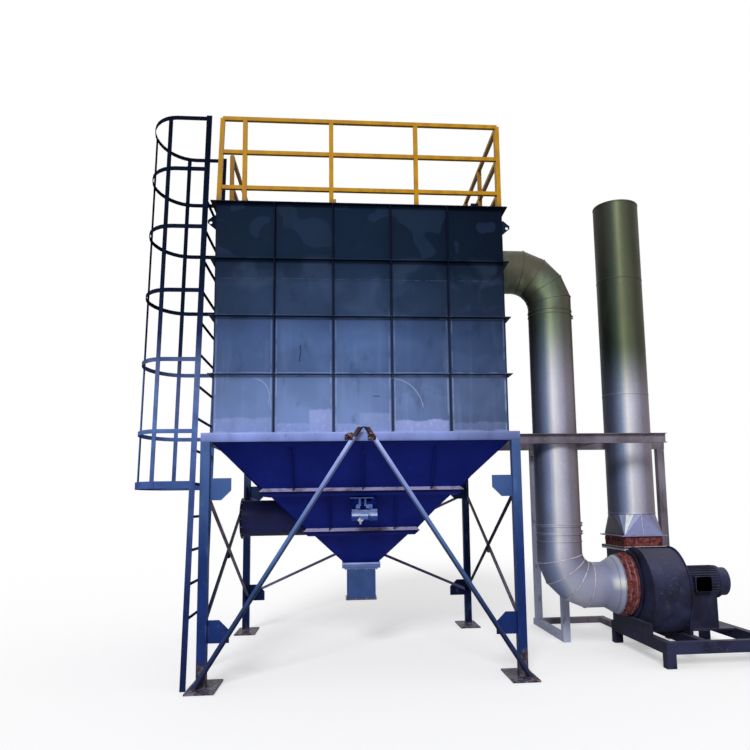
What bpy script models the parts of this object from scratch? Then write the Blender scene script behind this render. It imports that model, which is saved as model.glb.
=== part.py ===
"""Baghouse dust collector with its clean-air duct, fan and stack.

Metres, +Z up. The front, with the inclined struts, faces -Y. The ladder is on the -X side and the fan
on the +X side. The pieces are modelled with x = 0 and y = 0 in the middle of the filter housing, and one
empty then moves them so that the origin lies on the ground under the middle of the whole footprint.
"""

import math

import bmesh
import bpy
from mathutils import Vector

# Filter housing: square panels of thin plate between flat-bar stiffeners
PANEL_COLUMNS = 5
PANEL_ROWS = 4
PANEL_WIDTH = 0.600
PANEL_DEPTH = 0.586
PANEL_HEIGHT = 0.600
PLATE = 0.006
STIFFENER_THICKNESS = 0.008
STIFFENER_DEPTH = 0.050
ROOF_PLATE = 0.008

# Support frame
SUPPORT_HEIGHT = 2.420
COLUMN_SECTION = 0.090
BASE_PLATE_WIDTH = 0.270
BASE_PLATE_LENGTH = 0.540
BASE_PLATE_THICKNESS = 0.016
GUSSET_SIZE = 0.215
GUSSET_CUT = 0.095
GUSSET_THICKNESS = 0.010
CROSSING_PLATE = 0.110
UPPER_GUSSET_DROP = 0.460
LOWER_GUSSET_Z = 0.520
BRACE_SETBACK = 0.001
BRACE_THICKNESS = 0.006
STRUT_LEG = 0.060
STRUT_RISE = 0.049

# Hopper
HOPPER_DROP = 1.300
HOPPER_PLATE = 0.006
HOPPER_SKIRT = 0.070
UPPER_RING_DROP = 0.474
LOWER_RING_DROP = 0.911
HOPPER_RING_DEPTH = 0.050
HOPPER_RING_THICKNESS = 0.052
HOPPER_RIB_DEPTH = 0.040
HOPPER_RIB_THICKNESS = 0.008
UPPER_RIB_SPACING = 0.730
MIDDLE_RIB_SPACING = 0.720

# Hopper outlet
OUTLET_FLANGE_THICKNESS = 0.062
OUTLET_FLANGE_LIP = 0.045
SPOOL_SIZE = 0.334
SPOOL_WALL = 0.006
SPOOL_FLANGE_LIP = 0.028
SPOOL_FLANGE_THICKNESS = 0.012
SPOOL_LENGTH = 0.368

# Dusty-air inlet branch on the hopper's left side
INLET_DIAMETER = 0.420
INLET_WALL = 0.006
INLET_DROP = 0.770
INLET_END_GAP = 0.100
INLET_FLANGE_LIP = 0.030
INLET_FLANGE_THICKNESS = 0.010

# Vibrator on the hopper's front
VIBRATOR_RING_GAP = 0.1650
VIBRATOR_BAR_LENGTH = 0.270
VIBRATOR_DIAMETER = 0.125
VIBRATOR_LENGTH = 0.270
VIBRATOR_PLATE = 0.012
VIBRATOR_STANDOFF = 0.075

# Guard rail round the roof
RAIL_POST = 0.045
RAIL_TUBE = 0.040
RAIL_TOP = 0.930
RAIL_MIDDLE = 0.560
RAIL_LOWER = 0.170
RAIL_POST_SPACING = 0.900
RAIL_SECOND_POST = 0.262
RAIL_INSET = 0.0225
RAIL_LEFT_LEAN = 0.030

# Ladder and safety cage
LADDER_WIDTH = 0.900
LADDER_RISE = 0.8717
LADDER_FOOT_X = -1.700
LADDER_LEAN = 0.0249
LADDER_NEAR_Y = -1.592
STILE_WIDTH = 0.055
STILE_THICKNESS = 0.010
RUNG_SPACING = 0.320
RUNG_DIAMETER = 0.028
CAGE_HOOP_DROPS = (0.031, 0.578, 1.189, 1.852, 2.553, 3.265)
CAGE_LOWEST_DROP = 3.783
CAGE_BAR_WIDTH = 0.042
CAGE_BAR_THICKNESS = 0.006
CAGE_LOWEST_BAR_WIDTH = 0.070
CAGE_ARM = 0.320
CAGE_BULGE = 0.320

# Clean-air duct
DUCT_DIAMETER = 0.505
DUCT_WALL = 0.004
DUCT_DROP = 0.400
RISER_X = 2.250
TOP_ELBOW_RADIUS = 0.450
BOTTOM_ELBOW_RADIUS = 0.380
ELBOW_MITRES = 4
TOP_ELBOW_TAIL = 0.040
BOTTOM_ELBOW_TAIL = 0.115
DUCT_BEAD_HEIGHT = 0.006
DUCT_BEAD_WIDTH = 0.010
TOP_BEAD_DROP = 0.0536
LOWER_BEADS_RISE = (0.1876, 0.0938)
CONE_END_DIAMETER = 0.660
CONE_COLLAR = 0.030
CONE_LENGTH = 0.160
DUCT_FLANGE_LIP = 0.030

# Fan
FAN_AXIS_Z = 0.755
FAN_DISTANCE = 0.820
FAN_WIDTH = 0.420
FAN_TOP_RADIUS = 0.375
FAN_NEAR_RADIUS = 0.610
FAN_LOWER_RADIUS = 0.640
FAN_FAR_RADIUS = 0.670
FAN_SIDE_PLATE = 0.010
FAN_SIDE_LIP = 0.022
FAN_OUTLET_DEPTH = 0.600
FAN_OUTLET_RISE = 0.395
FAN_FOOT_HALF_LENGTH = 0.515
FAN_FOOT_HEIGHT = 0.130
FAN_FOOT_OVERHANG = 0.030
FAN_INLET_RING = 0.030
CONNECTOR_LENGTH = 0.1444
OUTLET_CONNECTOR_HEIGHT = 0.120
FAN_FLANGE_LIP = 0.050
FAN_FLANGE_THICKNESS = 0.012
MOTOR_DIAMETER = 0.340
MOTOR_LENGTH = 0.480

# Stack
STACK_DIAMETER = 0.550
STACK_TOP = 5.420
TRANSITION_HEIGHT = 0.240

# Grey frame that carries the duct and the stack
CHANNEL_HEIGHT = 0.110
CHANNEL_FLANGE = 0.050
CHANNEL_THICKNESS = 0.007
FRAME_RISE = 0.035
FRAME_FRONT_Y = -0.920
FRAME_REAR_Y = 0.070
FRONT_BEAM_OVERRUN = 0.380
REAR_BEAM_OVERRUN = 0.810
POST_SECTION = 0.090
LEFT_POST_DISTANCE = 0.250
RIGHT_POST_DISTANCE = 0.750
FAR_POST_Y = 1.290
GROUND_RAIL_HEIGHT = 0.080
GROUND_RAIL_DISTANCE = 0.360
GROUND_RAIL_FRONT_Y = -0.490
SKID_OVERHANG = 0.020
SKID_LENGTH = 1.200
SKID_FRONT_Y = -1.450
SKID_REAR_Y = 0.020
SKID_LIFT = 0.140
SKID_HEIGHT = 0.120
SKID_WIDTH = 0.080
SKID_PAD = 0.100

# Inspection lids on the roof
HATCH_SPACING = 1.360
HATCH_CURB_WIDTH = 0.880
HATCH_CURB_LENGTH = 1.800
HATCH_CURB_HEIGHT = 0.100
HATCH_LID_OVERHANG = 0.030
HATCH_LID_THICKNESS = 0.060
HATCH_LID_TOP = 0.140
HATCH_HANDLE_SPACING = 0.900
HANDLE_LENGTH = 0.200
HANDLE_HEIGHT = 0.060
HANDLE_BAR = 0.015

# Middle of the footprint, from the cage's outermost strip to the skid's far end
FOOTPRINT_MIDDLE_X = 0.9776

# Fits
WELD_GAP = 0.0003
RING_END_GAP = 0.0013
ROUND_SEGMENTS = 32

# Colours as linear RGB
BLUE_PAINT = (0.030, 0.085, 0.300, 1.0)
HOUSING_PAINT = (0.045, 0.090, 0.230, 1.0)
HOPPER_PAINT = (0.012, 0.020, 0.130, 1.0)
OCHRE_PAINT = (0.560, 0.270, 0.030, 1.0)
GALVANISED = (0.420, 0.430, 0.500, 1.0)
RED_FABRIC = (0.180, 0.045, 0.040, 1.0)
FAN_PAINT = (0.030, 0.032, 0.065, 1.0)
GREY_PAINT = (0.230, 0.210, 0.240, 1.0)
CAST_BLUE = (0.090, 0.130, 0.300, 1.0)

# Values that follow from the sizes above
HOUSING_HALF_X = PANEL_COLUMNS * PANEL_WIDTH / 2
HOUSING_HALF_Y = PANEL_COLUMNS * PANEL_DEPTH / 2
HOUSING_TOP = SUPPORT_HEIGHT + PANEL_ROWS * PANEL_HEIGHT
COLUMN_X = HOUSING_HALF_X + COLUMN_SECTION / 2
COLUMN_Y = HOUSING_HALF_Y + COLUMN_SECTION / 2
BEAM_BOTTOM = SUPPORT_HEIGHT - COLUMN_SECTION
BRACE_OFFSET = GUSSET_THICKNESS / 2 + WELD_GAP
BRACE_LEG = COLUMN_SECTION / 2 - BRACE_OFFSET - BRACE_SETBACK
HOPPER_TOP_X = HOUSING_HALF_X - WELD_GAP
HOPPER_TOP_Y = HOUSING_HALF_Y - WELD_GAP
HOPPER_BOTTOM_X = HOPPER_TOP_X - HOPPER_DROP
HOPPER_BOTTOM_Y = HOPPER_TOP_Y - HOPPER_DROP
HOPPER_BOTTOM = BEAM_BOTTOM - HOPPER_DROP
UPPER_GUSSET_Z = BEAM_BOTTOM - UPPER_GUSSET_DROP
UPPER_RING_Z = BEAM_BOTTOM - UPPER_RING_DROP
LOWER_RING_Z = BEAM_BOTTOM - LOWER_RING_DROP
SPOOL_BOTTOM = HOPPER_BOTTOM - OUTLET_FLANGE_THICKNESS - SPOOL_LENGTH
INLET_HEIGHT = BEAM_BOTTOM - INLET_DROP
INLET_END_X = -(HOUSING_HALF_X - INLET_END_GAP)
VIBRATOR_BAR_FOOT = LOWER_RING_Z + HOPPER_RING_THICKNESS / 2 + VIBRATOR_RING_GAP
VIBRATOR_HEIGHT = VIBRATOR_BAR_FOOT + VIBRATOR_BAR_LENGTH / 2 * math.sqrt(0.5)
ROOF_TOP = HOUSING_TOP + WELD_GAP + ROOF_PLATE
LADDER_TOP = ROOF_TOP + LADDER_RISE
CAGE_HOOP_HEIGHTS = [LADDER_TOP - drop for drop in CAGE_HOOP_DROPS]
CAGE_LOWEST_HOOP = LADDER_TOP - CAGE_LOWEST_DROP
DUCT_HEIGHT = HOUSING_TOP - DUCT_DROP
RISER_TOP_JOINT = DUCT_HEIGHT - TOP_ELBOW_RADIUS - TOP_ELBOW_TAIL
RISER_BOTTOM_JOINT = FAN_AXIS_Z + BOTTOM_ELBOW_RADIUS + BOTTOM_ELBOW_TAIL
FAN_SIDE_X = RISER_X + FAN_DISTANCE
CONE_END_X = FAN_SIDE_X - FAN_INLET_RING - CONNECTOR_LENGTH - 2 * WELD_GAP
CONE_START_X = CONE_END_X - CONE_LENGTH
FAN_OUTLET_Z = FAN_AXIS_Z + FAN_OUTLET_RISE
FRAME_TOP = SUPPORT_HEIGHT + FRAME_RISE
FRAME_FRONT_END_X = FAN_SIDE_X + FRONT_BEAM_OVERRUN
FRAME_REAR_END_X = FAN_SIDE_X + REAR_BEAM_OVERRUN
LEFT_POST_X = RISER_X + LEFT_POST_DISTANCE
RIGHT_POST_X = FAN_SIDE_X + RIGHT_POST_DISTANCE
GROUND_RAIL_X = FAN_SIDE_X + GROUND_RAIL_DISTANCE
SKID_LEFT_X = FAN_SIDE_X - SKID_OVERHANG
SKID_RIGHT_X = SKID_LEFT_X + SKID_LENGTH
SKID_TOP = SKID_LIFT + SKID_HEIGHT
DUCT_Y = -PANEL_DEPTH
LADDER_FAR_Y = LADDER_NEAR_Y + LADDER_WIDTH


def clear_scene():
    for scene_object in list(bpy.data.objects):
        bpy.data.objects.remove(scene_object, do_unlink=True)


def loft(loops):
    """Closed solid through several loops of the same number of points, with flat ends."""
    mesh = bmesh.new()
    rings = [[mesh.verts.new(point) for point in loop] for loop in loops]
    count = len(rings[0])
    for lower, upper in zip(rings, rings[1:]):
        for index in range(count):
            following = (index + 1) % count
            mesh.faces.new((lower[index], lower[following], upper[following], upper[index]))
    mesh.faces.new(rings[0])
    mesh.faces.new(rings[-1])
    bmesh.ops.recalc_face_normals(mesh, faces=mesh.faces)
    return mesh


def ring_loft(loops):
    """Closed solid through loops that come back to the first, such as a tube's outer and inner skins."""
    mesh = bmesh.new()
    rings = [[mesh.verts.new(point) for point in loop] for loop in loops]
    count = len(rings[0])
    for step, current in enumerate(rings):
        upper = rings[(step + 1) % len(rings)]
        for index in range(count):
            following = (index + 1) % count
            mesh.faces.new((current[index], current[following], upper[following], upper[index]))
    bmesh.ops.recalc_face_normals(mesh, faces=mesh.faces)
    return mesh


def prism(axis, outline, start, end):
    """Outline extruded along x, y or z. Its points hold the two other coordinates in x, y, z order."""
    position = "xyz".index(axis)

    def placed(pair, level):
        point = list(pair)
        point.insert(position, level)
        return point

    return loft([[placed(pair, level) for pair in outline] for level in (start, end)])


def block(low, high):
    outline = [(low[0], low[1]), (high[0], low[1]), (high[0], high[1]), (low[0], high[1])]
    return prism("z", outline, low[2], high[2])


def circle(centre, radius, segments=ROUND_SEGMENTS):
    points = []
    for index in range(segments):
        angle = 2 * math.pi * (index + 0.5) / segments
        points.append((centre[0] + radius * math.cos(angle), centre[1] + radius * math.sin(angle)))
    return points


def cylinder(axis, centre, radius, start, end, segments=ROUND_SEGMENTS):
    return prism(axis, circle(centre, radius, segments), start, end)


def angle_section(leg, thickness):
    return [(0, 0), (leg, 0), (leg, thickness), (thickness, thickness), (thickness, leg), (0, leg)]


def channel_section(height, flange, thickness):
    """Channel with its web along the first coordinate and its flanges along the second."""
    return [
        (0, 0), (height, 0), (height, flange), (height - thickness, flange),
        (height - thickness, thickness), (thickness, thickness), (thickness, flange), (0, flange),
    ]


def make_object(name, mesh):
    data = bpy.data.meshes.new(name)
    mesh.to_mesh(data)
    mesh.free()
    scene_object = bpy.data.objects.new(name, data)
    bpy.context.scene.collection.objects.link(scene_object)
    return scene_object


def combine(base, others, operation):
    """Fuses or cuts the other solids one after another and keeps one clean mesh."""
    for index, other in enumerate(others):
        tool = make_object(base.name + "_tool_" + str(index), other)
        modifier = base.modifiers.new("combine", "BOOLEAN")
        modifier.operation = operation
        modifier.solver = "EXACT"
        modifier.object = tool
        evaluated = base.evaluated_get(bpy.context.evaluated_depsgraph_get())
        result = bpy.data.meshes.new_from_object(evaluated)
        base.modifiers.clear()
        base.data = result
        bpy.data.objects.remove(tool, do_unlink=True)
    result_mesh = bmesh.new()
    result_mesh.from_mesh(base.data)
    bmesh.ops.remove_doubles(result_mesh, verts=result_mesh.verts, dist=0.00001)
    bmesh.ops.dissolve_limit(
        result_mesh, angle_limit=math.radians(0.5), verts=result_mesh.verts, edges=result_mesh.edges
    )
    result_mesh.to_mesh(base.data)
    result_mesh.free()
    return base


def paint(scene_object, colour, roughness, metallic):
    material = bpy.data.materials.new(scene_object.name)
    material.use_nodes = True
    shader = material.node_tree.nodes["Principled BSDF"]
    shader.inputs["Base Color"].default_value = colour
    shader.inputs["Roughness"].default_value = roughness
    shader.inputs["Metallic"].default_value = metallic
    scene_object.data.materials.clear()
    scene_object.data.materials.append(material)


def steel_part(name, solids, colour, roughness=0.55, metallic=0.3):
    """One painted node, fused from its solids in their order."""
    scene_object = make_object(name, solids[0])
    if len(solids) > 1:
        combine(scene_object, solids[1:], "UNION")
    paint(scene_object, colour, roughness, metallic)
    return scene_object


# Support frame


def gusset_outline(column_side, edge, middle, cut_below):
    """Plate from the column's inner face toward the middle, with its free corner cut off."""
    inward = -column_side
    free = edge + inward * GUSSET_SIZE
    near_free = edge + inward * (GUSSET_SIZE - GUSSET_CUT)
    low = middle - GUSSET_SIZE / 2
    high = middle + GUSSET_SIZE / 2
    if cut_below:
        return [(edge, low), (near_free, low), (free, low + GUSSET_CUT), (free, high), (edge, high)]
    return [(edge, low), (free, low), (free, high - GUSSET_CUT), (near_free, high), (edge, high)]


def build_leg(name, side_x, side_y):
    """Column, base plate and the plates that take the bracing."""
    centre_x = side_x * COLUMN_X
    centre_y = side_y * COLUMN_Y
    half = COLUMN_SECTION / 2
    column = block(
        (centre_x - half, centre_y - half, BASE_PLATE_THICKNESS / 2),
        (centre_x + half, centre_y + half, BEAM_BOTTOM - WELD_GAP),
    )
    plate_centre_x = centre_x - side_x * 0.020
    plate_centre_y = centre_y - side_y * 0.030
    half_width = BASE_PLATE_WIDTH / 2
    half_length = BASE_PLATE_LENGTH / 2
    base = block(
        (plate_centre_x - half_width, plate_centre_y - half_length, 0),
        (plate_centre_x + half_width, plate_centre_y + half_length, BASE_PLATE_THICKNESS),
    )
    solids = [column, base]
    thin = GUSSET_THICKNESS / 2
    for middle, cut_below in ((UPPER_GUSSET_Z, True), (LOWER_GUSSET_Z, False)):
        outline = gusset_outline(side_x, centre_x - side_x * (half - 0.010), middle, cut_below)
        solids.append(prism("y", outline, centre_y - thin, centre_y + thin))
        outline = gusset_outline(side_y, centre_y - side_y * (half - 0.010), middle, cut_below)
        solids.append(prism("x", outline, centre_x - thin, centre_x + thin))
    return steel_part(name, solids, BLUE_PAINT)


def build_beams():
    """Top beams: front and rear run over the columns, the side ones fit between them."""
    half = COLUMN_SECTION / 2
    outer_x = COLUMN_X + half
    for name, side in (("beam_front", -1), ("beam_rear", 1)):
        centre = side * COLUMN_Y
        low = (-outer_x, centre - half, BEAM_BOTTOM)
        high = (outer_x, centre + half, SUPPORT_HEIGHT)
        steel_part(name, [block(low, high)], BLUE_PAINT)
    inner_y = COLUMN_Y - half - WELD_GAP
    for name, side in (("beam_left", -1), ("beam_right", 1)):
        centre = side * COLUMN_X
        low = (centre - half, -inner_y, BEAM_BOTTOM)
        high = (centre + half, inner_y, SUPPORT_HEIGHT)
        steel_part(name, [block(low, high)], BLUE_PAINT)


def brace_pair(prefix, axis, plane, outward, near):
    """Two crossing angles on the two faces of the gussets, joined by a plate where they cross.

    axis is the direction they span, plane the gussets' middle and near the columns' inner faces.
    """
    section = angle_section(BRACE_LEG, BRACE_THICKNESS)
    low_z = LOWER_GUSSET_Z - 0.020
    high_z = UPPER_GUSSET_Z - 0.060

    def placed(run, across, z):
        return (run, across, z) if axis == "x" else (across, run, z)

    for layer, rise, face in (("outer", 1, outward), ("inner", -1, -outward)):
        loops = []
        for run in (-near, near):
            z = high_z if run * rise > 0 else low_z
            web = plane + face * BRACE_OFFSET
            loops.append([placed(run, web + face * p[1], z + p[0] - BRACE_LEG / 2) for p in section])
        solids = [loft(loops)]
        if layer == "outer":
            middle = (low_z + high_z) / 2
            half = CROSSING_PLATE / 2
            reach = sorted((plane - face * (BRACE_OFFSET - WELD_GAP), plane + face * (BRACE_OFFSET + 0.001)))
            low = placed(-half, reach[0], middle - half)
            high = placed(half, reach[1], middle + half)
            solids.append(block(low, high))
        steel_part(prefix + "_" + layer, solids, BLUE_PAINT)


def build_braces():
    near_y = COLUMN_Y - COLUMN_SECTION / 2 - WELD_GAP
    near_x = COLUMN_X - COLUMN_SECTION / 2 - WELD_GAP
    brace_pair("brace_left", "y", -COLUMN_X, -1, near_y)
    brace_pair("brace_right", "y", COLUMN_X, 1, near_y)
    brace_pair("brace_rear", "x", COLUMN_Y, 1, near_x)


def build_front_struts():
    """Two inclined angles that meet in front of the front beam and run down to the base plates."""
    section = angle_section(STRUT_LEG, BRACE_THICKNESS)
    face = -(COLUMN_Y + COLUMN_SECTION / 2 + WELD_GAP)
    for name, side in (("strut_left", -1), ("strut_right", 1)):
        foot_x = side * (COLUMN_X + 0.060)
        head_x = side * (STRUT_LEG + WELD_GAP) / 2
        loops = []
        for x, z in ((foot_x, BASE_PLATE_THICKNESS + WELD_GAP), (head_x, SUPPORT_HEIGHT + STRUT_RISE)):
            loops.append([(x + side * (p[0] - STRUT_LEG / 2), face - p[1], z) for p in section])
        steel_part(name, [loft(loops)], BLUE_PAINT)


# Filter housing


def wall_lines(panels, panel_size, start):
    """Grid lines along one direction, with True where the strip that follows is a stiffener."""
    lines = [start]
    raised = []
    for index in range(1, panels):
        centre = start + index * panel_size
        raised += [False, True]
        lines += [centre - STIFFENER_THICKNESS / 2, centre + STIFFENER_THICKNESS / 2]
    raised.append(False)
    lines.append(start + panels * panel_size)
    return lines, raised


def wall_mesh(half_length, panel_size, place, bare_cells=()):
    """Plate with a grid of flat bars. place(u, depth, z) puts a point on the wall."""
    mesh = bmesh.new()
    u_lines, u_raised = wall_lines(PANEL_COLUMNS, panel_size, -half_length)
    z_lines, z_raised = wall_lines(PANEL_ROWS, PANEL_HEIGHT, SUPPORT_HEIGHT + WELD_GAP)
    z_lines[-1] = HOUSING_TOP
    columns = len(u_raised)
    rows = len(z_raised)
    points = {}

    def vertex(i, j, depth):
        key = (i, j, depth)
        if key not in points:
            u = u_lines[i]
            if i == 0:
                u = -half_length - depth
            if i == columns:
                u = half_length + depth
            points[key] = mesh.verts.new(place(u, depth, z_lines[j]))
        return points[key]

    def cell_depth(i, j):
        if (i, j) in bare_cells:
            return 0.0
        return STIFFENER_DEPTH if u_raised[i] or z_raised[j] else 0.0

    for i in range(columns):
        for j in range(rows):
            depth = cell_depth(i, j)
            corners = ((i, j), (i + 1, j), (i + 1, j + 1), (i, j + 1))
            mesh.faces.new([vertex(a, b, depth) for a, b in corners])
            if i + 1 < columns and cell_depth(i + 1, j) != depth:
                other = cell_depth(i + 1, j)
                mesh.faces.new([
                    vertex(i + 1, j, depth), vertex(i + 1, j + 1, depth),
                    vertex(i + 1, j + 1, other), vertex(i + 1, j, other),
                ])
            if j + 1 < rows and cell_depth(i, j + 1) != depth:
                other = cell_depth(i, j + 1)
                mesh.faces.new([
                    vertex(i, j + 1, depth), vertex(i + 1, j + 1, depth),
                    vertex(i + 1, j + 1, other), vertex(i, j + 1, other),
                ])
    back = [vertex(i, j, -PLATE) for i, j in ((0, 0), (columns, 0), (columns, rows), (0, rows))]
    mesh.faces.new(back)

    def rim(cells, corner):
        """Front vertices along one edge of the wall, stepping up and down with the stiffeners."""
        chain = []
        for cell, first, second in cells:
            depth = cell_depth(*cell)
            for spot in (first, second):
                found = vertex(spot[0], spot[1], depth)
                if not chain or chain[-1] is not found:
                    chain.append(found)
        mesh.faces.new(chain + corner)

    rim([((i, 0), (i, 0), (i + 1, 0)) for i in range(columns)], [back[1], back[0]])
    rim([((i, rows - 1), (i, rows), (i + 1, rows)) for i in range(columns)], [back[2], back[3]])
    rim([((0, j), (0, j), (0, j + 1)) for j in range(rows)], [back[3], back[0]])
    rim([((columns - 1, j), (columns, j), (columns, j + 1)) for j in range(rows)], [back[2], back[1]])
    bmesh.ops.recalc_face_normals(mesh, faces=mesh.faces)
    return mesh


def lifting_lug(side_x, z):
    """Plate with an eye on a side wall beside the front corner."""
    x = side_x * HOUSING_HALF_X
    outward = side_x * 0.085
    outline = [(x - side_x * 0.003, z - 0.085), (x + outward, z - 0.010), (x + outward, z + 0.020),
               (x + side_x * 0.020, z + 0.075), (x - side_x * 0.003, z + 0.075)]
    y = -HOUSING_HALF_Y + 0.030
    return prism("y", outline, y - 0.006, y + 0.006)


def build_walls():
    gap = WELD_GAP
    half_x = HOUSING_HALF_X - gap
    half_y = HOUSING_HALF_Y - gap

    def front(u, depth, z):
        return (u, -HOUSING_HALF_Y - depth, z)

    def rear(u, depth, z):
        return (u, HOUSING_HALF_Y + depth, z)

    def left(u, depth, z):
        return (-HOUSING_HALF_X - depth, u, z)

    def right(u, depth, z):
        return (HOUSING_HALF_X + depth, u, z)

    front_panel = PANEL_WIDTH - 2 * gap / PANEL_COLUMNS
    steel_part("wall_front", [wall_mesh(half_x, front_panel, front)], HOUSING_PAINT)
    steel_part("wall_rear", [wall_mesh(half_x, front_panel, rear)], HOUSING_PAINT)
    side_panel = PANEL_DEPTH - 2 * gap / PANEL_COLUMNS
    lug_z = HOUSING_TOP - 0.200
    lug_eye_z = lug_z - 0.005
    duct_cells = [(2, 5)]
    for name, side, place, bare in (("wall_left", -1, left, ()), ("wall_right", 1, right, duct_cells)):
        wall = make_object(name, wall_mesh(half_y, side_panel, place, bare))
        combine(wall, [lifting_lug(side, lug_z)], "UNION")
        eye_x = side * (HOUSING_HALF_X + 0.055)
        eye = cylinder("y", (eye_x, lug_eye_z), 0.016, -HOUSING_HALF_Y - 0.05, -HOUSING_HALF_Y + 0.1, 16)
        cuts = [eye]
        if side > 0:
            hole = cylinder("x", (DUCT_Y, DUCT_HEIGHT), DUCT_DIAMETER / 2 - DUCT_WALL, HOUSING_HALF_X - 0.1,
                            HOUSING_HALF_X + 0.1)
            cuts.append(hole)
        combine(wall, cuts, "DIFFERENCE")
        paint(wall, HOUSING_PAINT, 0.55, 0.3)


def build_roof():
    """Deck plate with a lip all round, and two low inspection lids."""
    lip_x = HOUSING_HALF_X + STIFFENER_DEPTH
    lip_y = HOUSING_HALF_Y + STIFFENER_DEPTH
    low = HOUSING_TOP + WELD_GAP
    steel_part("roof_deck", [block((-lip_x, -lip_y, low), (lip_x, lip_y, ROOF_TOP))], HOUSING_PAINT)
    for name, side in (("roof_hatch_left", -1), ("roof_hatch_right", 1)):
        centre = side * HATCH_SPACING / 2
        base = ROOF_TOP + WELD_GAP
        half_x = HATCH_CURB_WIDTH / 2
        half_y = HATCH_CURB_LENGTH / 2
        curb = block((centre - half_x, -half_y, base), (centre + half_x, half_y, base + HATCH_CURB_HEIGHT))
        half_x += HATCH_LID_OVERHANG
        half_y += HATCH_LID_OVERHANG
        lid_base = base + HATCH_LID_TOP - HATCH_LID_THICKNESS
        lid = block((centre - half_x, -half_y, lid_base), (centre + half_x, half_y, base + HATCH_LID_TOP))
        solids = [curb, lid]
        for y in (-HATCH_HANDLE_SPACING / 2, HATCH_HANDLE_SPACING / 2):
            solids.append(handle(centre, y, base + HATCH_LID_TOP - 0.005))
        steel_part(name, solids, HOUSING_PAINT)


def handle(x, y, z):
    """Square-bar handle as an upright bridge."""
    half = HANDLE_LENGTH / 2
    inner = half - HANDLE_BAR
    top = z + HANDLE_HEIGHT
    outline = [(x - half, z), (x - half, top), (x + half, top), (x + half, z),
               (x + inner, z), (x + inner, top - HANDLE_BAR), (x - inner, top - HANDLE_BAR), (x - inner, z)]
    return prism("y", outline, y - HANDLE_BAR / 2, y + HANDLE_BAR / 2)


# Guard rail


def rail_post_positions(start, end):
    """Posts at both ends and at even steps between them."""
    bays = max(1, round((end - start) / RAIL_POST_SPACING))
    return [start + (end - start) * index / bays for index in range(bays + 1)]


def rail_panel(name, axis, line, posts, start, end, lean_first=0.0):
    """Posts and three rails in one upright plane. axis is the direction the rails run in."""
    half_post = RAIL_POST / 2
    half_tube = RAIL_TUBE / 2
    base = ROOF_TOP + WELD_GAP
    top = ROOF_TOP + RAIL_TOP

    def placed(run, across, z):
        return (run, across, z) if axis == "x" else (across, run, z)

    def bar(run_low, run_high, half, z_low, z_high):
        low = placed(run_low, line - half, z_low)
        high = placed(run_high, line + half, z_high)
        return block(low, high)

    solids = []
    for height in (RAIL_TOP, RAIL_MIDDLE, RAIL_LOWER):
        middle = ROOF_TOP + height
        solids.append(bar(start, end, half_tube, middle - half_tube, middle + half_tube))
    for index, post in enumerate(posts):
        lean = lean_first if index == 0 else 0.0
        loops = []
        for z, shift in ((base, -lean), (top, 0.0)):
            corners = ((-1, -1), (1, -1), (1, 1), (-1, 1))
            loops.append([placed(post + shift + a * half_post, line + b * half_post, z) for a, b in corners])
        solids.append(loft(loops))
    steel_part(name, [solids[3]] + solids[:3] + solids[4:], OCHRE_PAINT, 0.5, 0.1)


def build_guard_rail():
    """Front and rear panels run corner to corner and the side panels fit between them.

    The left panel stops short of the ladder.
    """
    edge_x = HOUSING_HALF_X - RAIL_INSET
    edge_y = HOUSING_HALF_Y - RAIL_INSET
    front_posts = [-edge_x + RAIL_LEFT_LEAN]
    front_posts += [-edge_x + RAIL_SECOND_POST + RAIL_POST_SPACING * step for step in range(3)]
    front_posts.append(edge_x)
    rail_panel("guard_rail_front", "x", -edge_y, front_posts, front_posts[0], edge_x, RAIL_LEFT_LEAN)
    rear_posts = rail_post_positions(-edge_x, edge_x)
    rail_panel("guard_rail_rear", "x", edge_y, rear_posts, -edge_x, edge_x)
    inner = edge_y - RAIL_POST / 2 - WELD_GAP
    half_post = RAIL_POST / 2
    right_posts = rail_post_positions(-inner + half_post, inner - half_post)
    rail_panel("guard_rail_right", "y", edge_x, right_posts, -inner, inner)
    opening_end = LADDER_FAR_Y + 0.060
    left_posts = rail_post_positions(opening_end, inner - half_post)
    rail_panel("guard_rail_left", "y", -edge_x, left_posts, opening_end, inner)


# Ladder and cage


def ladder_x(z):
    return LADDER_FOOT_X + LADDER_LEAN * z


def stile(y_low, y_high):
    half = STILE_WIDTH / 2
    loops = []
    for z in (0.0, LADDER_TOP):
        x = ladder_x(z)
        corners = ((x - half, y_low), (x + half, y_low), (x + half, y_high), (x - half, y_high))
        loops.append([corner + (z,) for corner in corners])
    return loft(loops)


def build_ladder():
    """Two flat stiles, round rungs, and flat brackets that reach the roof lip and the side beam."""
    half = STILE_THICKNESS / 2
    solids = [stile(y - half, y + half) for y in (LADDER_NEAR_Y, LADDER_FAR_Y)]
    rungs = int((ROOF_TOP - 0.10) / RUNG_SPACING)
    first = ROOF_TOP - 0.02 - (rungs - 1) * RUNG_SPACING
    for index in range(rungs):
        z = first + index * RUNG_SPACING
        reach = half + 0.004
        centre = (ladder_x(z), z)
        ends = (LADDER_NEAR_Y - reach, LADDER_FAR_Y + reach)
        solids.append(cylinder("y", centre, RUNG_DIAMETER / 2, ends[0], ends[1], 8))
    lip = -(HOUSING_HALF_X + STIFFENER_DEPTH + WELD_GAP)
    beam_face = -(COLUMN_X + COLUMN_SECTION / 2 + WELD_GAP)
    for z, target in ((HOUSING_TOP + 0.004, lip), (SUPPORT_HEIGHT - COLUMN_SECTION / 2, beam_face)):
        y = LADDER_FAR_Y
        low = (ladder_x(z), y - half - 0.008, z - 0.030)
        solids.append(block(low, (target, y - half + 0.002, z + 0.030)))
    return steel_part("ladder", [solids[0]] + solids[2:] + [solids[1]], BLUE_PAINT)


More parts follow.
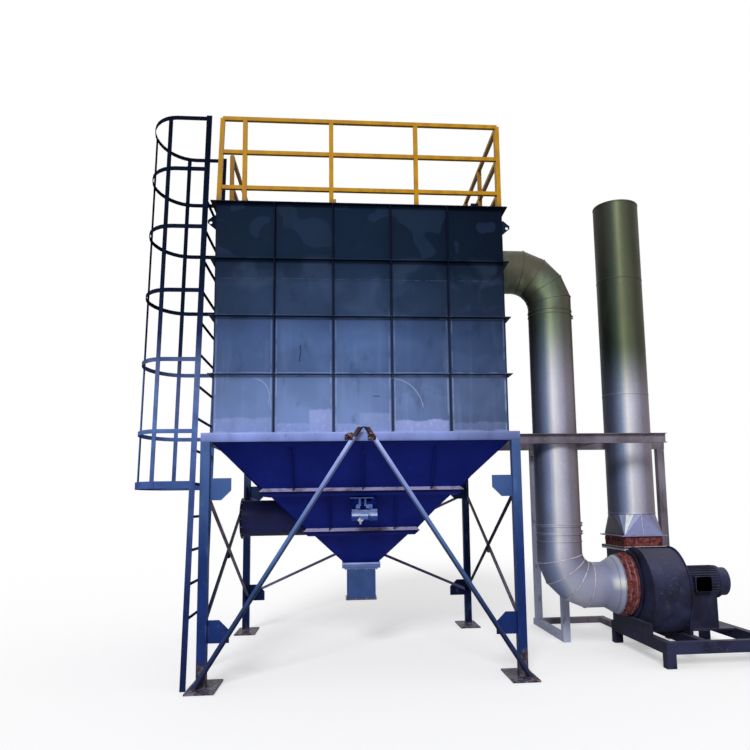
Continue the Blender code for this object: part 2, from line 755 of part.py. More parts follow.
def cage_outline(z, offset, width):
    """Plan of a hoop: an arm from each stile, then half an ellipse. offset moves it outward."""
    stile_edge = ladder_x(z - width / 2) - STILE_WIDTH / 2 - WELD_GAP
    turn_x = ladder_x(z) - CAGE_ARM
    middle_y = (LADDER_NEAR_Y + LADDER_FAR_Y) / 2
    half_y = LADDER_WIDTH / 2 + offset
    points = [(stile_edge, middle_y - half_y)]
    steps = 16
    for index in range(steps + 1):
        angle = -math.pi / 2 + math.pi * index / steps
        x = turn_x - (CAGE_BULGE + offset) * math.cos(angle)
        points.append((x, middle_y + half_y * math.sin(angle)))
    points.append((stile_edge, middle_y + half_y))
    return points


def cage_hoop(z, width):
    outer = cage_outline(z, 0.0, width)
    inner = cage_outline(z, -CAGE_BAR_THICKNESS, width)
    return prism("z", outer + inner[::-1], z - width / 2, z + width / 2)


def cage_strip(angle, low_z, high_z):
    """Upright flat inside the hoops at an angle round the bulge."""
    middle_y = (LADDER_NEAR_Y + LADDER_FAR_Y) / 2
    half_y = LADDER_WIDTH / 2 - CAGE_BAR_THICKNESS / 2
    bulge = CAGE_BULGE - CAGE_BAR_THICKNESS / 2
    tangent = Vector((bulge * math.sin(angle), half_y * math.cos(angle), 0)).normalized()
    normal = Vector((-tangent.y, tangent.x, 0))
    loops = []
    for z in (low_z, high_z):
        x = ladder_x(z) - CAGE_ARM - bulge * math.cos(angle)
        centre = Vector((x, middle_y + half_y * math.sin(angle), z))
        corners = ((-1, -1), (1, -1), (1, 1), (-1, 1))
        half_width = CAGE_BAR_WIDTH / 2
        loops.append([
            centre + tangent * (a * half_width) + normal * (b * CAGE_BAR_THICKNESS * 0.8) for a, b in corners
        ])
    return loft(loops)


def build_ladder_cage():
    hoops = [cage_hoop(z, CAGE_BAR_WIDTH) for z in CAGE_HOOP_HEIGHTS]
    hoops.append(cage_hoop(CAGE_LOWEST_HOOP, CAGE_LOWEST_BAR_WIDTH))
    low_z = CAGE_LOWEST_HOOP - CAGE_LOWEST_BAR_WIDTH / 2 + 0.004
    high_z = CAGE_HOOP_HEIGHTS[0] + CAGE_BAR_WIDTH / 2 - 0.004
    strips = [cage_strip(angle, low_z, high_z) for angle in (math.radians(-78), 0.0, math.radians(78))]
    return steel_part("ladder_cage", [strips[0]] + hoops + strips[1:], BLUE_PAINT)


# Hopper


def hopper_half(z, top_half):
    """Half width of the hopper's outer face at a height. Its walls slope at 45 degrees."""
    return top_half - (BEAM_BOTTOM - z)


def hopper_plate_solid(side, along_x, z_low, z_high, depth_out, depth_in, end_gap):
    """Piece of one sloping wall, between two depths measured square to the slope, mitred at the corners."""
    top_half = HOPPER_TOP_Y if along_x else HOPPER_TOP_X
    difference = HOPPER_TOP_X - HOPPER_TOP_Y
    if not along_x:
        difference = -difference
    unit = math.sqrt(0.5)
    loops = []
    for z, depth in ((z_low, depth_in), (z_low, depth_out), (z_high, depth_out), (z_high, depth_in)):
        reach = hopper_half(z, top_half) + depth * unit
        level = z - depth * unit
        end = reach + difference - end_gap
        if along_x:
            loops.append(((-end, side * reach, level), (end, side * reach, level)))
        else:
            loops.append(((side * reach, -end, level), (side * reach, end, level)))
    return loft([[pair[0] for pair in loops], [pair[1] for pair in loops]])


def hopper_rib(side, along_x, offset, z_low, z_high):
    """Flat bar standing on the slope between two heights."""
    top_half = HOPPER_TOP_Y if along_x else HOPPER_TOP_X
    unit = math.sqrt(0.5)
    outline = []
    root = -0.003
    crest = HOPPER_RIB_DEPTH
    for z, depth in ((z_low, root), (z_low, crest), (z_high, crest), (z_high, root)):
        outline.append((side * (hopper_half(z, top_half) + depth * unit), z - depth * unit))
    half = HOPPER_RIB_THICKNESS / 2
    axis = "x" if along_x else "y"
    return prism(axis, outline, offset - half, offset + half)


def build_hopper():
    for name, side, along_x in (
        ("hopper_front", -1, True), ("hopper_rear", 1, True),
        ("hopper_left", -1, False), ("hopper_right", 1, False),
    ):
        build_hopper_wall(name, side, along_x)


def build_hopper_wall(name, side, along_x):
    end_gap = WELD_GAP
    top = BEAM_BOTTOM
    plate = hopper_plate_solid(side, along_x, HOPPER_BOTTOM, top, 0.0, -HOPPER_PLATE, end_gap)
    top_half = HOPPER_TOP_Y if along_x else HOPPER_TOP_X
    end_half = (HOPPER_TOP_X if along_x else HOPPER_TOP_Y) - 0.012
    outer = top_half
    inner = top_half - HOPPER_PLATE
    if along_x:
        skirt = block(
            (-end_half, min(side * outer, side * inner), top - 0.004),
            (end_half, max(side * outer, side * inner), top + HOPPER_SKIRT),
        )
    else:
        skirt = block(
            (min(side * outer, side * inner), -end_half, top - 0.004),
            (max(side * outer, side * inner), end_half, top + HOPPER_SKIRT),
        )
    solids = [plate, skirt]
    for ring_z in (UPPER_RING_Z, LOWER_RING_Z):
        low = ring_z - HOPPER_RING_THICKNESS / 2
        high = ring_z + HOPPER_RING_THICKNESS / 2
        solids.append(hopper_plate_solid(side, along_x, low, high, HOPPER_RING_DEPTH, -0.003, RING_END_GAP))
    for offset in (-UPPER_RIB_SPACING, 0.0, UPPER_RIB_SPACING):
        solids.append(hopper_rib(side, along_x, offset, UPPER_RING_Z, top - 0.050))
    for offset in (-MIDDLE_RIB_SPACING / 2, MIDDLE_RIB_SPACING / 2):
        solids.append(hopper_rib(side, along_x, offset, LOWER_RING_Z, UPPER_RING_Z))
    wall = steel_part(name, solids, HOPPER_PAINT)
    if name == "hopper_left":
        bore = cylinder("x", (0.0, INLET_HEIGHT), INLET_DIAMETER / 2 - INLET_WALL, INLET_END_X, 0.0)
        seat = make_object("inlet_seat", cylinder("x", (0.0, INLET_HEIGHT), INLET_DIAMETER / 2 + WELD_GAP,
                                                  INLET_END_X, 0.0))
        combine(seat, [behind_slope(WELD_GAP / 3)], "DIFFERENCE")
        seat_mesh = bmesh.new()
        seat_mesh.from_mesh(seat.data)
        bpy.data.objects.remove(seat, do_unlink=True)
        combine(wall, [bore, seat_mesh], "DIFFERENCE")
        paint(wall, HOPPER_PAINT, 0.55, 0.3)
    return wall


def behind_slope(clearance):
    """Everything inside the hopper's left slope and a clearance in front of it."""
    offset = clearance * math.sqrt(2)
    outline = []
    reach = HOPPER_DROP / 2
    for z in (INLET_HEIGHT - reach, INLET_HEIGHT + reach):
        outline.append((-hopper_half(z, HOPPER_TOP_X) - offset, z))
    outline += [(HOPPER_TOP_X, INLET_HEIGHT + reach), (HOPPER_TOP_X, INLET_HEIGHT - reach)]
    return prism("y", outline, -0.5, 0.5)


def build_outlet():
    """Flange under the hopper and the square spool bolted to it."""
    outer_x = HOPPER_BOTTOM_X + OUTLET_FLANGE_LIP * 0.5
    outer_y = HOPPER_BOTTOM_Y + OUTLET_FLANGE_LIP
    top = HOPPER_BOTTOM - WELD_GAP
    bottom = top - OUTLET_FLANGE_THICKNESS
    bore = SPOOL_SIZE / 2 - SPOOL_WALL
    plate = make_object("outlet_flange", block((-outer_x, -outer_y, bottom), (outer_x, outer_y, top)))
    combine(plate, [block((-bore, -bore, bottom - 0.01), (bore, bore, top + 0.01))], "DIFFERENCE")
    paint(plate, HOPPER_PAINT, 0.55, 0.3)
    spool_top = bottom - WELD_GAP
    half = SPOOL_SIZE / 2
    lip = half + SPOOL_FLANGE_LIP
    flange = block((-lip, -lip, spool_top - SPOOL_FLANGE_THICKNESS), (lip, lip, spool_top))
    tube = block((-half, -half, SPOOL_BOTTOM), (half, half, spool_top - 0.002))
    edge = half + 0.010
    rim = block((-edge, -edge, SPOOL_BOTTOM), (edge, edge, SPOOL_BOTTOM + 0.012))
    spool = make_object("discharge_spool", tube)
    combine(spool, [flange, rim], "UNION")
    inside = block((-bore, -bore, SPOOL_BOTTOM - 0.01), (bore, bore, spool_top + 0.01))
    combine(spool, [inside], "DIFFERENCE")
    paint(spool, BLUE_PAINT, 0.55, 0.3)


def build_inlet_branch():
    """Round branch from the hopper's left slope, with a flange where the dusty-air duct bolts on."""
    radius = INLET_DIAMETER / 2
    tube_end = -hopper_half(INLET_HEIGHT - radius, HOPPER_TOP_X)
    tube = cylinder("x", (0.0, INLET_HEIGHT), radius, INLET_END_X, tube_end)
    flange = cylinder("x", (0.0, INLET_HEIGHT), radius + INLET_FLANGE_LIP, INLET_END_X,
                      INLET_END_X + INLET_FLANGE_THICKNESS)
    branch = make_object("inlet_branch", tube)
    combine(branch, [flange], "UNION")
    bore = cylinder("x", (0.0, INLET_HEIGHT), radius - INLET_WALL, INLET_END_X - 0.1, tube_end + 0.1)
    combine(branch, [bore, behind_slope(WELD_GAP)], "DIFFERENCE")
    paint(branch, BLUE_PAINT, 0.5, 0.3)


def build_vibrator():
    """Foot plate on stand-off bars, and the unbalance motor with its covers and terminal box."""
    slope_y = -hopper_half(VIBRATOR_HEIGHT, HOPPER_TOP_Y)
    unit = math.sqrt(0.5)
    outward = Vector((0, -unit, -unit))
    uphill = Vector((0, -unit, unit))
    centre = Vector((0.020, slope_y, VIBRATOR_HEIGHT))

    def slab(x_low, x_high, up_low, up_high, out_low, out_high):
        loops = []
        for x in (x_low, x_high):
            loop = []
            for up, out in ((up_low, out_low), (up_low, out_high), (up_high, out_high), (up_high, out_low)):
                point = centre + uphill * up + outward * out
                loop.append((centre.x + x, point.y, point.z))
            loops.append(loop)
        return loft(loops)

    near = WELD_GAP
    bars = [
        slab(-0.115, -0.075, -VIBRATOR_BAR_LENGTH / 2, VIBRATOR_BAR_LENGTH / 2, near, VIBRATOR_STANDOFF),
        slab(0.075, 0.115, -VIBRATOR_BAR_LENGTH / 2, VIBRATOR_BAR_LENGTH / 2, near, VIBRATOR_STANDOFF),
    ]
    plate = slab(-0.130, 0.130, -0.110, 0.110, VIBRATOR_STANDOFF - 0.002, VIBRATOR_STANDOFF + VIBRATOR_PLATE)
    steel_part("vibrator_bracket", [plate] + bars, BLUE_PAINT)
    base = VIBRATOR_STANDOFF + VIBRATOR_PLATE + WELD_GAP
    radius = VIBRATOR_DIAMETER / 2
    axis = centre + outward * (base + radius + 0.012)
    half = VIBRATOR_LENGTH / 2
    body = cylinder("x", (axis.y, axis.z), radius * 0.88, centre.x - half, centre.x + half, 24)
    covers = []
    for low, high in ((-half, -half + 0.075), (half - 0.075, half)):
        covers.append(cylinder("x", (axis.y, axis.z), radius, centre.x + low, centre.x + high, 24))
    feet = [
        slab(-0.085, -0.045, -0.085, 0.085, base, base + 0.040),
        slab(0.045, 0.085, -0.085, 0.085, base, base + 0.040),
    ]
    box = block(
        (centre.x - 0.045, axis.y - radius - 0.030, axis.z - 0.045),
        (centre.x + 0.035, axis.y - radius * 0.4, axis.z + 0.030),
    )
    steel_part("vibrator_motor", [body] + covers + feet + [box], CAST_BLUE)


# Clean-air duct


def pipe_stations(path, radii):
    """Rings on the mitre planes of a path in the x-z plane. radii holds one radius for each point."""
    stations = []
    count = len(path)
    for index, point in enumerate(path):
        before = path[max(index - 1, 0)]
        after = path[min(index + 1, count - 1)]
        into = Vector((point[0] - before[0], point[1] - before[1]))
        out = Vector((after[0] - point[0], after[1] - point[1]))
        into = into.normalized() if into.length > 0 else out.normalized()
        out = out.normalized() if out.length > 0 else into
        mean = (into + out).normalized()
        stretch = 1.0 / mean.dot(into)
        stations.append((point, Vector((-mean.y, mean.x)) * stretch, radii[index]))
    return stations


def pipe_rings(path, radii, y, shrink):
    loops = []
    for point, across, radius in pipe_stations(path, radii):
        loop = []
        for index in range(ROUND_SEGMENTS):
            angle = 2 * math.pi * index / ROUND_SEGMENTS
            reach = (radius - shrink) * math.cos(angle)
            loop.append((
                point[0] + across.x * reach,
                y + (radius - shrink) * math.sin(angle),
                point[1] + across.y * reach,
            ))
        loops.append(loop)
    return loops


def pipe_solid(path, radii, y, wall=DUCT_WALL):
    outer = pipe_rings(path, radii, y, 0.0)
    inner = pipe_rings(path, radii, y, wall)
    return ring_loft(outer + inner[::-1])


def elbow_path(centre, radius, start_angle, end_angle):
    """Corner points of a segmented bend whose end segments are half as long."""
    step = (end_angle - start_angle) / ELBOW_MITRES
    reach = radius / math.cos(step / 2)
    points = []
    for index in range(ELBOW_MITRES):
        angle = start_angle + step * (index + 0.5)
        points.append((centre[0] + reach * math.cos(angle), centre[1] + reach * math.sin(angle)))
    return points


def beaded_riser(top, bottom, radius):
    """Path and radii down a straight riser with small raised rings near its two ends."""
    path = [(RISER_X, top)]
    radii = [radius]
    for middle in [top - TOP_BEAD_DROP] + [bottom + rise for rise in LOWER_BEADS_RISE]:
        for shift, lift in ((1.0, 0.0), (0.4, DUCT_BEAD_HEIGHT), (-0.4, DUCT_BEAD_HEIGHT), (-1.0, 0.0)):
            path.append((RISER_X, middle + shift * DUCT_BEAD_WIDTH))
            radii.append(radius + lift)
    return path + [(RISER_X, bottom)], radii + [radius]


def build_clean_air_duct():
    radius = DUCT_DIAMETER / 2
    wall_face = HOUSING_HALF_X + WELD_GAP
    flange = radius + DUCT_FLANGE_LIP
    bend_centre = (RISER_X - TOP_ELBOW_RADIUS, DUCT_HEIGHT - TOP_ELBOW_RADIUS)
    path = [(wall_face, DUCT_HEIGHT), (wall_face + 0.010, DUCT_HEIGHT), (wall_face + 0.0101, DUCT_HEIGHT)]
    radii = [flange, flange, radius]
    path += elbow_path(bend_centre, TOP_ELBOW_RADIUS, math.pi / 2, 0.0)
    path.append((RISER_X, RISER_TOP_JOINT))
    radii += [radius] * (len(path) - len(radii))
    steel_part("duct_top_elbow", [pipe_solid(path, radii, DUCT_Y)], GALVANISED, 0.35, 0.9)

    riser, riser_radii = beaded_riser(RISER_TOP_JOINT - WELD_GAP, RISER_BOTTOM_JOINT, radius)
    steel_part("duct_riser", [pipe_solid(riser, riser_radii, DUCT_Y)], GALVANISED, 0.35, 0.9)

    bend_centre = (RISER_X + BOTTOM_ELBOW_RADIUS, FAN_AXIS_Z + BOTTOM_ELBOW_RADIUS)
    path = [(RISER_X, RISER_BOTTOM_JOINT - WELD_GAP)]
    path += elbow_path(bend_centre, BOTTOM_ELBOW_RADIUS, math.pi, 1.5 * math.pi)
    path += [(CONE_START_X, FAN_AXIS_Z), (CONE_END_X - CONE_COLLAR, FAN_AXIS_Z), (CONE_END_X, FAN_AXIS_Z)]
    radii = [radius] * (len(path) - 2) + [CONE_END_DIAMETER / 2 - 0.008, CONE_END_DIAMETER / 2]
    steel_part("duct_bottom_elbow", [pipe_solid(path, radii, DUCT_Y)], GALVANISED, 0.35, 0.9)


# Fan


def build_inlet_connector():
    """Round fabric sleeve between the duct's cone and the fan's inlet ring."""
    start = CONE_END_X + WELD_GAP
    end = FAN_SIDE_X - FAN_INLET_RING - WELD_GAP
    middle = (start + end) / 2
    radius = CONE_END_DIAMETER / 2
    path = [(start, FAN_AXIS_Z), (middle, FAN_AXIS_Z), (end, FAN_AXIS_Z)]
    radii = [radius, radius - 0.014, radius]
    steel_part("fan_inlet_connector", [pipe_solid(path, radii, DUCT_Y, 0.008)], RED_FABRIC, 0.9, 0.0)


def fan_radius(share):
    """Radius of the scroll; share goes from 0 at the top over the near side to 1 at the far side."""
    stages = (FAN_TOP_RADIUS, FAN_NEAR_RADIUS, FAN_LOWER_RADIUS, FAN_FAR_RADIUS)
    place = share * (len(stages) - 1)
    index = min(int(place), len(stages) - 2)
    return stages[index] + (stages[index + 1] - stages[index]) * (place - index)


def fan_outline(lift):
    """Side view of the casing in y and z: the scroll with its flat bottom, and the outlet neck."""
    points = []
    steps = 42
    lowest = SKID_TOP + WELD_GAP + FAN_SIDE_LIP - lift
    for index in range(steps + 1):
        turn = 1.5 * math.pi * index / steps
        radius = fan_radius(index / steps) + lift
        height = FAN_AXIS_Z + radius * math.cos(turn)
        points.append((DUCT_Y - radius * math.sin(turn), max(height, lowest)))
    far = points[-1][0]
    near = far - FAN_OUTLET_DEPTH - 2 * lift
    points.append((far, FAN_OUTLET_Z))
    points.append((near, FAN_OUTLET_Z))
    return points


def build_fan_casing():
    """Scroll with overhanging side plates, an inlet ring, an outlet flange and two feet."""
    right = FAN_SIDE_X + FAN_WIDTH
    wrap = fan_outline(0.0)
    plate = fan_outline(FAN_SIDE_LIP)

    def at(outline, x):
        return [(x, y, z) for y, z in outline]

    inner_left = FAN_SIDE_X + FAN_SIDE_PLATE
    inner_right = right - FAN_SIDE_PLATE
    body = loft([
        at(plate, FAN_SIDE_X), at(plate, inner_left), at(wrap, inner_left),
        at(wrap, inner_right), at(plate, inner_right), at(plate, right),
    ])
    ring_radius = CONE_END_DIAMETER / 2
    ring = cylinder("x", (DUCT_Y, FAN_AXIS_Z), ring_radius, FAN_SIDE_X - FAN_INLET_RING, FAN_SIDE_X + 0.005)
    far = DUCT_Y + FAN_FAR_RADIUS
    near = far - FAN_OUTLET_DEPTH
    low = (FAN_SIDE_X - FAN_FLANGE_LIP, near - FAN_FLANGE_LIP, FAN_OUTLET_Z - 0.004)
    high = (right + FAN_FLANGE_LIP, far + FAN_FLANGE_LIP, FAN_OUTLET_Z + FAN_FLANGE_THICKNESS)
    solids = [body, ring, block(low, high)]
    foot_low = SKID_TOP + WELD_GAP
    for start, end in (
        (FAN_SIDE_X - FAN_FOOT_OVERHANG, FAN_SIDE_X + FAN_SIDE_PLATE / 2),
        (right - FAN_SIDE_PLATE / 2, right + FAN_FOOT_OVERHANG),
    ):
        solids.append(block(
            (start, DUCT_Y - FAN_FOOT_HALF_LENGTH, foot_low),
            (end, DUCT_Y + FAN_FOOT_HALF_LENGTH, foot_low + FAN_FOOT_HEIGHT),
        ))
    steel_part("fan_casing", solids, FAN_PAINT, 0.5, 0.3)


def fan_outlet_box():
    """Low and high corner of the outlet in x and y."""
    far = DUCT_Y + FAN_FAR_RADIUS
    return FAN_SIDE_X, FAN_SIDE_X + FAN_WIDTH, far - FAN_OUTLET_DEPTH, far


def square_tube(box, wall, low_z, high_z, lift=0.0):
    x_low, x_high, y_low, y_high = box

    def loop(grow, z):
        return [(x_low - grow, y_low - grow, z), (x_high + grow, y_low - grow, z),
                (x_high + grow, y_high + grow, z), (x_low - grow, y_high + grow, z)]

    outside = [loop(lift, low_z), loop(lift, high_z)]
    return ring_loft(outside + [loop(lift - wall, high_z), loop(lift - wall, low_z)])


def build_outlet_connector():
    low = FAN_OUTLET_Z + FAN_FLANGE_THICKNESS + WELD_GAP
    steel_part("fan_outlet_connector",
               [square_tube(fan_outlet_box(), 0.010, low, low + OUTLET_CONNECTOR_HEIGHT, 0.018)],
               RED_FABRIC, 0.9, 0.0)


def build_stack():
    """Square-to-round transition on a flange, and the open pipe above it."""
    x_low, x_high, y_low, y_high = fan_outlet_box()
    base = FAN_OUTLET_Z + FAN_FLANGE_THICKNESS + OUTLET_CONNECTOR_HEIGHT + 2 * WELD_GAP
    centre = ((x_low + x_high) / 2, (y_low + y_high) / 2)
    radius = STACK_DIAMETER / 2
    top = base + FAN_FLANGE_THICKNESS + TRANSITION_HEIGHT

    def square_loop(grow, z):
        """Square outline with as many points as the round one, a quarter of them at each corner's sides."""
        half_x = (x_high - x_low) / 2 + grow
        half_y = (y_high - y_low) / 2 + grow
        loop = []
        for index in range(ROUND_SEGMENTS):
            angle = 2 * math.pi * (index + 0.5) / ROUND_SEGMENTS
            reach = max(abs(math.cos(angle)), abs(math.sin(angle)))
            x = centre[0] + half_x * math.cos(angle) / reach
            y = centre[1] + half_y * math.sin(angle) / reach
            loop.append((x, y, z))
        return loop

    def round_loop(r, z):
        return [(x, y, z) for x, y in circle(centre, r)]

    wall = DUCT_WALL
    lower = base + FAN_FLANGE_THICKNESS
    transition = ring_loft([
        square_loop(FAN_FLANGE_LIP, base), square_loop(FAN_FLANGE_LIP, lower), square_loop(0.0, lower),
        round_loop(radius, top), round_loop(radius - wall, top),
        square_loop(-wall, lower), square_loop(-wall, base),
    ])
    steel_part("stack_transition", [transition], GALVANISED, 0.35, 0.9)
    pipe_base = top + WELD_GAP
    steel_part("stack_pipe", [ring_loft([
        round_loop(radius, pipe_base), round_loop(radius, STACK_TOP),
        round_loop(radius - wall, STACK_TOP), round_loop(radius - wall, pipe_base),
    ])], GALVANISED, 0.35, 0.9)


def build_fan_drive():
    """Channel skid beside the casing, with the motor that turns the wheel."""
    outer = (SKID_LEFT_X, SKID_RIGHT_X, SKID_FRONT_Y, SKID_REAR_Y)
    solids = [square_tube(outer, SKID_WIDTH, SKID_LIFT, SKID_TOP)]
    motor_rail = SKID_LEFT_X + SKID_OVERHANG + FAN_WIDTH - SKID_WIDTH / 2
    solids.append(block(
        (motor_rail, SKID_FRONT_Y + SKID_WIDTH / 2, SKID_LIFT + 0.010),
        (motor_rail + SKID_WIDTH, SKID_REAR_Y - SKID_WIDTH / 2, SKID_TOP - 0.001),
    ))
    solids.append(block(
        (motor_rail + SKID_WIDTH / 2, DUCT_Y - 0.200, SKID_TOP - 0.020),
        (SKID_RIGHT_X - 0.020, DUCT_Y + 0.200, SKID_TOP),
    ))
    for x in (SKID_LEFT_X, SKID_RIGHT_X - SKID_PAD):
        for y in (SKID_FRONT_Y, SKID_REAR_Y - SKID_PAD):
            solids.append(block((x, y, 0.0), (x + SKID_PAD, y + SKID_PAD, SKID_LIFT + 0.020)))
    steel_part("fan_skid", solids, FAN_PAINT)
    radius = MOTOR_DIAMETER / 2
    start = FAN_SIDE_X + FAN_WIDTH + WELD_GAP
    motor_start = start + 0.120
    shaft = cylinder("x", (DUCT_Y, FAN_AXIS_Z), 0.060, start, motor_start + 0.010, 20)
    body = cylinder("x", (DUCT_Y, FAN_AXIS_Z), radius, motor_start, motor_start + MOTOR_LENGTH, 28)
    cowl = cylinder("x", (DUCT_Y, FAN_AXIS_Z), radius * 0.93, motor_start + MOTOR_LENGTH - 0.01,
                    motor_start + MOTOR_LENGTH + 0.090, 28)
    stand = block(
        (motor_start + 0.060, DUCT_Y - 0.150, SKID_TOP + WELD_GAP),
        (motor_start + MOTOR_LENGTH - 0.080, DUCT_Y + 0.150, FAN_AXIS_Z - radius * 0.5),
    )
    box = block(
        (motor_start + 0.120, DUCT_Y - radius - 0.070, FAN_AXIS_Z - 0.080),
        (motor_start + 0.300, DUCT_Y - radius * 0.6, FAN_AXIS_Z + 0.080),
    )
    steel_part("fan_motor", [body, shaft, cowl, stand, box], FAN_PAINT)


# Grey frame


def channel_along_x(x_low, x_high, y_web, z_top, open_toward):
    """Channel with its web upright at y_web and its flanges toward +Y or -Y."""
    outline = []
    for height, flange in channel_section(CHANNEL_HEIGHT, CHANNEL_FLANGE, CHANNEL_THICKNESS):
        outline.append((y_web + open_toward * flange, z_top - CHANNEL_HEIGHT + height))
    return prism("x", outline, x_low, x_high)


def channel_along_y(y_low, y_high, x_web, z_top, open_toward):
    outline = []
    for height, flange in channel_section(CHANNEL_HEIGHT, CHANNEL_FLANGE, CHANNEL_THICKNESS):
        outline.append((x_web + open_toward * flange, z_top - CHANNEL_HEIGHT + height))
    return prism("y", outline, y_low, y_high)


def build_duct_frame():
    start_x = COLUMN_X + COLUMN_SECTION / 2 + WELD_GAP
    front = channel_along_x(start_x, FRAME_FRONT_END_X, FRAME_FRONT_Y + CHANNEL_FLANGE, FRAME_TOP, -1)
    front_plate = block(
        (start_x, FRAME_FRONT_Y - 0.010, BEAM_BOTTOM + 0.004),
        (start_x + 0.010, FRAME_FRONT_Y + CHANNEL_FLANGE + 0.010, FRAME_TOP + 0.008),
    )
    steel_part("frame_front_beam", [front, front_plate], GREY_PAINT, 0.6, 0.4)
    rear = channel_along_x(start_x, FRAME_REAR_END_X, FRAME_REAR_Y, FRAME_TOP, 1)
    rear_plate = block(
        (start_x, FRAME_REAR_Y - 0.010, BEAM_BOTTOM + 0.004),
        (start_x + 0.010, FRAME_REAR_Y + CHANNEL_FLANGE + 0.010, FRAME_TOP + 0.008),
    )
    steel_part("frame_rear_beam", [rear, rear_plate], GREY_PAINT, 0.6, 0.4)
    low_y = FRAME_FRONT_Y + CHANNEL_FLANGE + WELD_GAP
    high_y = FRAME_REAR_Y - WELD_GAP
    cross = channel_along_y(low_y, high_y, LEFT_POST_X + 0.090, FRAME_TOP, 1)
    steel_part("frame_cross_beam", [cross], GREY_PAINT, 0.6, 0.4)
    side_low = FRAME_REAR_Y + CHANNEL_FLANGE + WELD_GAP
    half = POST_SECTION / 2
    side = channel_along_y(side_low, FAR_POST_Y + half, LEFT_POST_X - half, FRAME_TOP, 1)
    steel_part("frame_side_beam", [side], GREY_PAINT, 0.6, 0.4)
    under = FRAME_TOP - CHANNEL_HEIGHT - WELD_GAP
    post_y = FRAME_REAR_Y + CHANNEL_FLANGE / 2
    for name, x, y, foot in (
        ("frame_post_near", LEFT_POST_X, post_y, 0.0),
        ("frame_post_far", LEFT_POST_X, FAR_POST_Y, 0.0),
        ("frame_post_right", RIGHT_POST_X, post_y, 0.0),
    ):
        post = block((x - half, y - half, foot), (x + half, y + half, under))
        steel_part(name, [post], GREY_PAINT, 0.6, 0.4)
    build_ground_rails(post_y, half)


def build_ground_rails(near_post_y, half):
    """Floor channels: between the left posts, across behind the fan and forward to it."""
    left = block(
        (LEFT_POST_X - half, near_post_y + half + WELD_GAP, 0.0),
        (LEFT_POST_X + half, FAR_POST_Y - half - WELD_GAP, GROUND_RAIL_HEIGHT),
    )
    steel_part("ground_rail_left", [left], GREY_PAINT, 0.6, 0.4)
    far_y = FAR_POST_Y + half + WELD_GAP
    across = block(
        (LEFT_POST_X - half, far_y, 0.0),
        (GROUND_RAIL_X + 0.040, far_y + 0.080, GROUND_RAIL_HEIGHT),
    )
    forward = block((GROUND_RAIL_X - 0.040, GROUND_RAIL_FRONT_Y, 0.0),
                    (GROUND_RAIL_X + 0.040, far_y + 0.010, GROUND_RAIL_HEIGHT - 0.002))
    steel_part("ground_rail_right", [across, forward], GREY_PAINT, 0.6, 0.4)


def centre_on_footprint():
    pieces = [scene_object for scene_object in bpy.data.objects if scene_object.type == "MESH"]
    root = bpy.data.objects.new("dust_collector", None)
    bpy.context.scene.collection.objects.link(root)
    for piece in pieces:
        piece.parent = root
    root.location = (-FOOTPRINT_MIDDLE_X, 0.0, 0.0)


def main():
    clear_scene()
    for name, side_x, side_y in (
        ("leg_front_left", -1, -1), ("leg_front_right", 1, -1),
        ("leg_rear_left", -1, 1), ("leg_rear_right", 1, 1),
    ):
        build_leg(name, side_x, side_y)
    build_beams()
    build_braces()
    build_front_struts()
    build_walls()
    build_roof()
    build_guard_rail()
    build_ladder()
    build_ladder_cage()
    build_hopper()
    build_outlet()
    build_inlet_branch()
    build_vibrator()
    build_clean_air_duct()
    build_inlet_connector()
    build_fan_casing()
    build_outlet_connector()
    build_stack()
    build_fan_drive()
    build_duct_frame()
    centre_on_footprint()


main()
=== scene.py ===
"""Baghouse dust collector: paint, fittings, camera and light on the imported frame."""

import math

import bmesh
import bpy
from mathutils import Matrix, Vector, noise


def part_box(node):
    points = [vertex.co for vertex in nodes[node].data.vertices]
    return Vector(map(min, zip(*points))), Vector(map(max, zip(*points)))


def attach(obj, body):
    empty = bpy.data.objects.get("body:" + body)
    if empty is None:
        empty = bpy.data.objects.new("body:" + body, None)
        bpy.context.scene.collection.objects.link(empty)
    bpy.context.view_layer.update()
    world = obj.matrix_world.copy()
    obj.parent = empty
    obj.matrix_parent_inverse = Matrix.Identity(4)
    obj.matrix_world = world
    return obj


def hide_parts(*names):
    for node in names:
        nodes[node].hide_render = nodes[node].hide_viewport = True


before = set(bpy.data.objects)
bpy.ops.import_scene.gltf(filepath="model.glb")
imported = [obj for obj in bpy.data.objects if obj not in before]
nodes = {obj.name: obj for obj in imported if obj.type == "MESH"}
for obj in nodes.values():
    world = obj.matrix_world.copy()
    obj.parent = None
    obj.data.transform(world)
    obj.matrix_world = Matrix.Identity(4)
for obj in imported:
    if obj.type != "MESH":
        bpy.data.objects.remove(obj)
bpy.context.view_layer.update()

WALL_LOW, WALL_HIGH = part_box("wall_front")
HOUSING_MIDDLE_X = (WALL_LOW.x + WALL_HIGH.x) / 2
PANEL_WIDTH = 0.6
HOUSING_LEFT_X = HOUSING_MIDDLE_X - 2.5 * PANEL_WIDTH
PANEL_HEIGHT = 0.6
SUPPORT_HEIGHT = 2.42
RISER_X = 1.2724
DUCT_Y = -0.586
DUCT_RADIUS = 0.2525
DUCT_HEIGHT = 4.42
TOP_BEND_RADIUS = 0.45
BOTTOM_BEND_RADIUS = 0.38
MITRE_STEP = math.radians(22.5)
FAN_AXIS_Z = 0.755
FAN_LEFT_X = 2.0724
FAN_RIGHT_X = 2.4924
HOPPER_RINGS = (1.856, 1.419)
RING_HALF_HEIGHT = 0.026
LEFT = (-1, 0, 0)
RIGHT = (1, 0, 0)
FRONT = (0, -1, 0)
UP = (0, 0, 1)
DOWN = (0, 0, -1)


